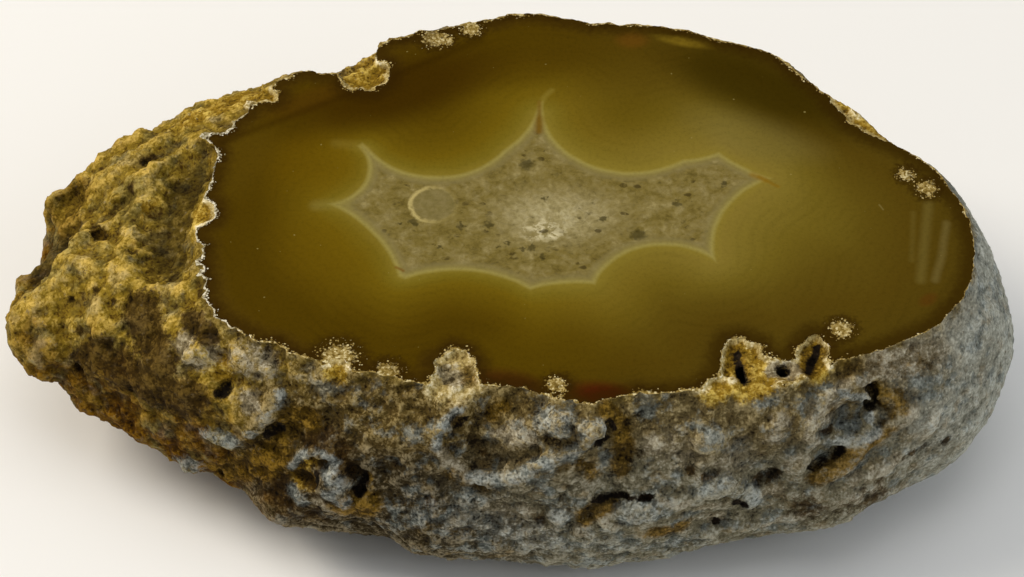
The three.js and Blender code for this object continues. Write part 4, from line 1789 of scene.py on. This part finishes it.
@dataclass(frozen=True)
class NoduleSkin:
    """The nodule's own skin: golden and brown crust at the left end, turning to speckled grey.

    The tone is how light each grain is. Each part of it has its pattern and, as its share, how
    much it counts. The crusts are laid one over another by where they are on the stone, each with
    a fade along the length or up the height, and the swing makes their borders uneven.
    """

    roughness: float = 0.85
    gloss: float = 0.06
    bump: float = 0.16
    middle_tone: float = 0.505
    fine: Clouds = Clouds(0.34, 3.0, 0.65)
    fine_share: float = 0.62
    grains: Cells = Cells(0.38, swirl=(0.9, 0.25))
    grain_edge: Fade = Fade(0.3, 0.6, 1.0, 0.2)
    grain_share: float = 0.3
    calm: Fade = Fade(-34.0, -14.0, 0.8, 0.9)
    broad: Clouds = Clouds(1.7, 3.0, 0.6, swirl=(3.0, 1.0))
    broad_share: float = 0.21
    wide: Clouds = Clouds(5.5)
    wide_share: float = 0.24
    gaps: Clouds = Clouds(0.5, 3.0, 0.6, 0.6, swirl=(1.0, 0.3))
    gap_depth: Fade = Fade(0.38, 0.5, -0.11, 0.035)
    worn: Fade = Fade(5.0, 40.0, 1.0, 0.45)
    # Painted light: each lump lighter in its middle and darker at its edge, so that the skin looks knobbly.
    lumps: Cells = Cells(2.4, swirl=(2.2, 0.9))
    lump_painted_light: Fade = Fade(0.15, 0.7, 0.06, -0.04)
    # Painted light: the skin lighter towards its foot, to lift the shade that falls there.
    foot_painted_light: Fade = Fade(3.0, 15.0, 0.06, 0.0)
    # Painted light: crests lighter and crevices darker, by how far the skin stands out from its
    # surroundings.
    crest_highlight_crevice_shade: Fade = Fade(-0.3, 0.3, -0.15, 0.13)
    swing: Clouds = Clouds(6.0, 5.0, 0.6)
    swing_along: float = 30.0
    swing_up: float = 24.0
    swing_rust: float = 10.0
    golden: Crust = Crust(0x48320A, 0x8B7322, 0xD2B25A)
    golden_up: Fade = Fade(13.0, 24.0)
    umber: Crust = Crust(0x1A0E00, 0x4C3000, 0x866008)
    olive: Crust = Crust(0x2A220E, 0x5A5026, 0x968A52)
    smoke: Clouds = Clouds(3.2, 4.0, 0.6, swirl=(5.0, 2.0))
    smoke_edge: Fade = Fade(0.47, 0.64, 0.0, 0.7)
    brown: Crust = Crust(0x140E06, 0x3C321C, 0x94886C)
    brown_along: Fade = Fade(-34.0, -21.0)
    grey: Crust = Crust(0x302C20, 0x756F58, 0xB4B19E)
    grey_along: Fade = Fade(-12.0, 14.0)
    rusty: Crust = Crust(0x201504, 0x604E22, 0xAE985E)
    rusty_up: Fade = Fade(19.0, 26.0, 0.0, 0.75)
    rusty_along: Fade = Fade(-34.0, -20.0)
    pale: Crust = Crust(0x5A5B50, 0xA1A294, 0xDADBCE)
    pale_along: Fade = Fade(38.0, 57.0)
    patchy_along: Fade = Fade(-34.0, -6.0, 0.25, 1.0)
    warm: Crust = Crust(0x261A0A, 0x645028, 0xAC9562)
    warm_patches: Clouds = Clouds(2.4, 5.0, 0.65)
    warm_edge: Fade = Fade(0.53, 0.66, 0.0, 0.45)
    cool: Crust = Crust(0x1E2220, 0x606865, 0xA8B0AC)
    cool_patches: Clouds = Clouds(2.8, 5.0, 0.65)
    cool_aside: Place = (40.0, 20.0, 10.0)
    cool_edge: Fade = Fade(0.5, 0.64, 0.0, 0.7)
    # Painted shade: the skin's deepest hollows darkened nearly to black.
    deep: Fade = Fade(-2.4, -0.8, 0.7, 0.0)
    deep_shade_colour: int = 0x0C0804
    ragged: Clouds = Clouds(0.8, 5.0, 0.75)
    edging: Crust = Crust(0x32240A, 0x62501E, 0xA08A4A)
    edging_ragged: float = 5.0
    edging_down: Fade = Fade(0.1, 1.6, 0.9, 0.0)
    edging_patches: Clouds = Clouds(3.5, swirl=(3.0, 1.5))
    edging_edge: Fade = Fade(0.42, 0.6, 0.2, 0.9)
    cream: Crust = Crust(0x705C2C, 0xC0AC70, 0xFFF6D4)
    amber: Crust = Crust(0x3E2A06, 0x8A6C1A, 0xDCC060)
    amber_ragged: float = 1.6
    amber_down: Fade = Fade(0.2, 0.7)
    cream_pocket: Place = (-6.0, -22.7, 29.0)
    cream_reach: Fade = Fade(4.5, 8.0, 0.3, 1.0)
    tint_ragged: float = 1.3
    gold_edge: Fade = Fade(0.12, 0.5, 0.0, 0.95)
    washes: tuple[Wash, ...] = (
        Wash(ASH, Fade(0.1, 0.5, 0.0, 0.8), Crust(0x2C261C, 0x80765E, 0xCEC8B2)),
        Wash(UMBER, Fade(0.12, 0.48, 0.0, 0.9), Crust(0x0E0902, 0x302006, 0x604A1C)),
        Wash(OCHRE, Fade(0.05, 0.55, 0.0, 0.9), Crust(0x160D00, 0x4E3A08, 0x94721E)),
        Wash(FROST, Fade(0.1, 0.55, 0.0, 0.75), Crust(0x1E201E, 0x666C68, 0xC0C6C0)),
        # painted shade, near black, in and round the pits and slots
        Wash(HOLE_SHADE, Fade(0.12, 0.46), Crust(0x080503, 0x161008, 0x30261A)),
    )

    def tone(self, w: Wiring) -> Socket:
        """Works out how light each grain of the skin is, with painted shade in the crevices, painted
        highlight on the crests and lumps, and painted light lifting the foot.

        Args:
            w: the wiring.

        Returns:
            The tone, about 0.5 on the whole.
        """
        fine = w.sway(w.spot, self.fine)
        broad = w.sway(w.spot, self.broad)
        off, own = w.cells(w.spot, self.grains)
        grains = w.times(w.less(w.split(own)[0], 0.5), w.fade(off, self.grain_edge))
        calm = w.fade(w.axis(w.spot, "X"), self.calm)
        tone = w.raised(self.middle_tone, w.times(fine, calm), self.fine_share)
        tone = w.raised(tone, w.times(grains, calm), self.grain_share)
        tone = w.raised(tone, broad, self.broad_share)
        tone = w.raised(tone, w.sway(w.spot, self.wide), self.wide_share)
        gaps = w.fade(w.cloud(w.spot, self.gaps), self.gap_depth)
        tone = w.raised(tone, gaps, w.fade(w.axis(w.spot, "X"), self.worn))
        # painted light and shade on the lumps
        tone = w.plus(tone, w.fade(w.cells(w.spot, self.lumps)[0], self.lump_painted_light))
        # painted light at the foot
        tone = w.plus(tone, w.fade(w.axis(w.spot, "Z"), self.foot_painted_light))
        # painted highlight on the crests and painted shade in the crevices
        return w.plus(tone, w.fade(w.attribute("stand"), self.crest_highlight_crevice_shade))

    def ground(self, w: Wiring, tone: Socket) -> Socket:
        """Lays the skin's large crusts: golden, then brown, then grey from the left end to the right.

        Args:
            w: the wiring.
            tone: the tone there.

        Returns:
            The skin's colour at large.
        """
        axes = w.put("SeparateXYZ", {"Vector": w.spot}).outputs
        swing = w.sway(w.spot, self.swing)
        along = w.raised(axes["X"], swing, self.swing_along)
        height = w.raised(axes["Z"], swing, self.swing_up)
        left = w.mix(w.fade(height, self.golden_up), self.umber.laid(w, tone), self.golden.laid(w, tone))
        smoky = w.fade(w.cloud(w.spot, self.smoke), self.smoke_edge)
        left = w.mix(smoky, left, self.olive.laid(w, tone))
        colour = w.mix(w.fade(along, self.brown_along), left, self.brown.laid(w, tone))
        colour = w.mix(w.fade(along, self.grey_along), colour, self.grey.laid(w, tone))
        rust = w.fade(w.raised(axes["Z"], swing, self.swing_rust), self.rusty_up)
        rust = w.times(rust, w.fade(along, self.rusty_along))
        colour = w.mix(rust, colour, self.rusty.laid(w, tone))
        return w.mix(w.fade(along, self.pale_along), colour, self.pale.laid(w, tone))

    def mottled(self, w: Wiring, tone: Socket, colour: Socket) -> Socket:
        """Lays warm and cool patches over a colour, a few millimetres across.

        Args:
            w: the wiring.
            tone: the tone there.
            colour: the colour so far.

        Returns:
            The colour with the patches.
        """
        aside = w.put("Mapping", {"Vector": w.spot, "Location": self.cool_aside}).outputs[0]
        left = w.fade(w.axis(w.spot, "X"), self.patchy_along)
        warm = w.times(w.fade(w.cloud(w.spot, self.warm_patches), self.warm_edge), left)
        cool = w.times(w.fade(w.cloud(aside, self.cool_patches), self.cool_edge), left)
        colour = w.mix(warm, colour, self.warm.laid(w, tone))
        return w.mix(cool, colour, self.cool.laid(w, tone))

    def edged(self, w: Wiring, tone: Socket, ragged: Socket, colour: Socket) -> Socket:
        """Lays the dark edging below the polished face over a colour.

        Args:
            w: the wiring.
            tone: the tone there.
            ragged: what makes edges uneven.
            colour: the colour so far.

        Returns:
            The colour with the edging.
        """
        rise = w.raised(w.attribute("lip"), ragged, self.edging_ragged)
        patchy = w.fade(w.cloud(w.spot, self.edging_patches), self.edging_edge)
        share = w.times(w.fade(rise, self.edging_down), patchy)
        return w.mix(share, colour, self.edging.laid(w, tone))

    def tinted(self, w: Wiring, tone: Socket, colour: Socket) -> Socket:
        """Lays the tints over a colour, each by its own measure and ragged at its edge.

        Args:
            w: the wiring.
            tone: the tone there.
            colour: the colour so far.

        Returns:
            The colour with the tints.
        """
        ragged = w.sway(w.spot, self.ragged)
        colour = self.edged(w, tone, ragged, colour)
        inner = w.raised(w.attribute("lip"), ragged, self.amber_ragged)
        away = w.fade(w.distance(w.spot, self.cream_pocket), self.cream_reach)
        deeper = w.times(w.fade(inner, self.amber_down), away)
        pocket = w.mix(deeper, self.cream.laid(w, tone), self.amber.laid(w, tone))
        near = w.raised(w.attribute(GOLD.value), ragged, self.tint_ragged)
        colour = w.mix(w.fade(near, self.gold_edge), colour, pocket)
        for wash in self.washes:
            near = w.raised(w.attribute(wash.tint.value), ragged, self.tint_ragged)
            colour = w.mix(w.fade(near, wash.edge), colour, wash.crust.laid(w, tone))
        return colour

    def material(self) -> bpy.types.Material:
        """Makes the finish.

        Returns:
            The material.
        """
        w = Wiring("nodule_skin")
        tone = self.tone(w)
        colour = self.mottled(w, tone, self.ground(w, tone))
        # painted shade in the deepest hollows
        colour = w.tint(w.fade(w.attribute("relief"), self.deep), colour, self.deep_shade_colour)
        colour = self.tinted(w, tone, colour)
        return w.surface(colour, self.roughness, tone, self.bump, self.gloss)


@dataclass(frozen=True)
class SawnUnderside:
    """The underside: sawn flat and left matt, so the agate shows through stone dust and saw marks.

    The marks are arcs round the middle of the blade, and their rate is in radians a millimetre.
    """

    section: AgateSection = AgateSection()
    roughness: float = 0.7
    gloss: float = 0.3
    dust: Clouds = Clouds(6.0, 5.0, 0.6)
    dust_share: Fade = Fade(0.3, 0.7, 0.3, 0.6)
    dust_colour: int = 0x948A6E
    blade: Place = (-180.0, 60.0, 0.0)
    mark_rate: float = 4.5
    mark_height: float = 0.5
    mark_depth: float = 0.06
    grain: Clouds = Clouds(0.8, 3.0)

    def material(self) -> bpy.types.Material:
        """Makes the finish.

        Returns:
            The material.
        """
        w = Wiring("sawn_underside")
        dust = w.fade(w.cloud(w.spot, self.dust), self.dust_share)
        colour = w.tint(dust, self.section.colour(w), self.dust_colour)
        reach = w.times(w.distance(w.spot, self.blade), self.mark_rate)
        ripple = w.times(w.maths("SINE", reach), self.mark_height)
        marks = w.plus(ripple, w.cloud(w.spot, self.grain))
        return w.surface(colour, self.roughness, marks, self.mark_depth, self.gloss)


@dataclass(frozen=True)
class Lamp:
    """A soft square light: its place and its width in metres, and whether polished stone mirrors it."""

    name: str
    place: Place
    watts: float
    width: float
    colour: int
    mirrored: bool = True

    def hang(self) -> None:
        """Hangs the light, turned to the stone."""
        deselect()
        bpy.ops.object.light_add(type="AREA", location=self.place)
        lamp = bpy.context.object
        lamp.name = self.name
        lamp.data.energy = self.watts
        lamp.data.size = self.width
        lamp.data.color = paint(self.colour)[:3]
        lamp.rotation_euler = (-Vector(self.place)).to_track_quat("-Z", "Y").to_euler()
        lamp.visible_glossy = self.mirrored


@dataclass(frozen=True)
class Studio:
    """A plain pale floor, soft lights and the camera.

    The camera's distance is in millimetres, its height in degrees above the level, and its aim
    the place on the polished face that it looks at.
    """

    floor_width: float = 6.0
    floor_roughness: float = 0.9
    floor_gloss: float = 0.2
    floor_clouds: Clouds = Clouds(0.5)
    floor_colours: Stops = ((0.3, 0xEEEEEC), (0.7, 0xF2F2F0))
    lamps: tuple[Lamp, ...] = (
        Lamp("key", (-0.9, 0.25, 0.9), 13.0, 0.6, 0xFFF4E4),
        Lamp("fill", (0.9, -0.4, 0.8), 3.0, 0.9, 0xE8F0FF),
        Lamp("top", (0.0, 0.0, 1.4), 5.0, 1.0, 0xFFFFFF, mirrored=False),
    )
    sky_colour: int = 0xF4F4F2
    sky_strength: float = 0.3
    camera_distance: float = 421.0
    camera_height: float = 50.0
    lens: float = 135.0
    sensor: float = 36.0
    near_clip: float = 0.01
    aim: Pair = (-0.12, -12.2)

    def floor(self) -> None:
        """Lays a pale floor under the stone."""
        deselect()
        bpy.ops.mesh.primitive_plane_add(size=self.floor_width, location=(0.0, 0.0, 0.0))
        ground = bpy.context.object
        ground.name = "floor"
        w = Wiring("pale_floor")
        shade = w.cloud(w.place((0.0, 0.0, 0.0), (1.0,) * 3), self.floor_clouds)
        colour = w.ramp(shade, self.floor_colours)
        ground.data.materials.append(w.surface(colour, self.floor_roughness, None, 0.0, self.floor_gloss))

    def sky(self) -> None:
        """Lights the stone evenly from all round, with nothing for the polish to mirror."""
        world = bpy.data.worlds.new("studio")
        world.use_nodes = True
        background = world.node_tree.nodes["Background"].inputs
        background["Color"].default_value = paint(self.sky_colour)
        background["Strength"].default_value = self.sky_strength
        bpy.context.scene.world = world
        world.cycles_visibility.glossy = False
        bpy.context.scene.view_settings.view_transform = "Standard"

    def camera(self, level: float) -> None:
        """Sets the camera on the stone's polished face.

        Args:
            level: the face's height in metres.
        """
        angle = math.radians(self.camera_height)
        back = Vector((0.0, -math.cos(angle), math.sin(angle)))
        target = Vector((self.aim[0] * MM, self.aim[1] * MM, level))
        data = bpy.data.cameras.new("camera")
        data.lens = self.lens
        data.sensor_width = self.sensor
        data.clip_start = self.near_clip
        viewer = bpy.data.objects.new("camera", data)
        viewer.location = target + back * self.camera_distance * MM
        viewer.rotation_euler = (-back).to_track_quat("-Z", "Y").to_euler()
        bpy.context.scene.collection.objects.link(viewer)
        bpy.context.scene.camera = viewer

    def set_up(self, level: float) -> None:
        """Sets up the floor, the lights, the sky and the camera.

        Args:
            level: the polished face's height in metres.
        """
        self.floor()
        for lamp in self.lamps:
            lamp.hang()
        self.sky()
        self.camera(level)


def main() -> None:
    """Builds the slice and the studio, and reports the piece."""
    stone = Stone()
    stone.rough_out()
    stone.grow_knobs()
    for relief in LUMPS:
        stone.roughen(relief)
    stone.sink_pits()
    for relief in GRAINS:
        stone.roughen(relief)
    stone.saw()
    stone.name_zones()
    stone.measure()
    stone.finish()
    Studio().set_up(stone.high.z)
    mesh = stone.piece.data
    LOG.info("%s: %d faces, %d triangles", stone.piece.name, len(mesh.polygons),
             sum(len(face.vertices) - 2 for face in mesh.polygons))


if __name__ == "__main__":
    logging.basicConfig(level=logging.INFO, format="%(name)s: %(message)s")
    main()
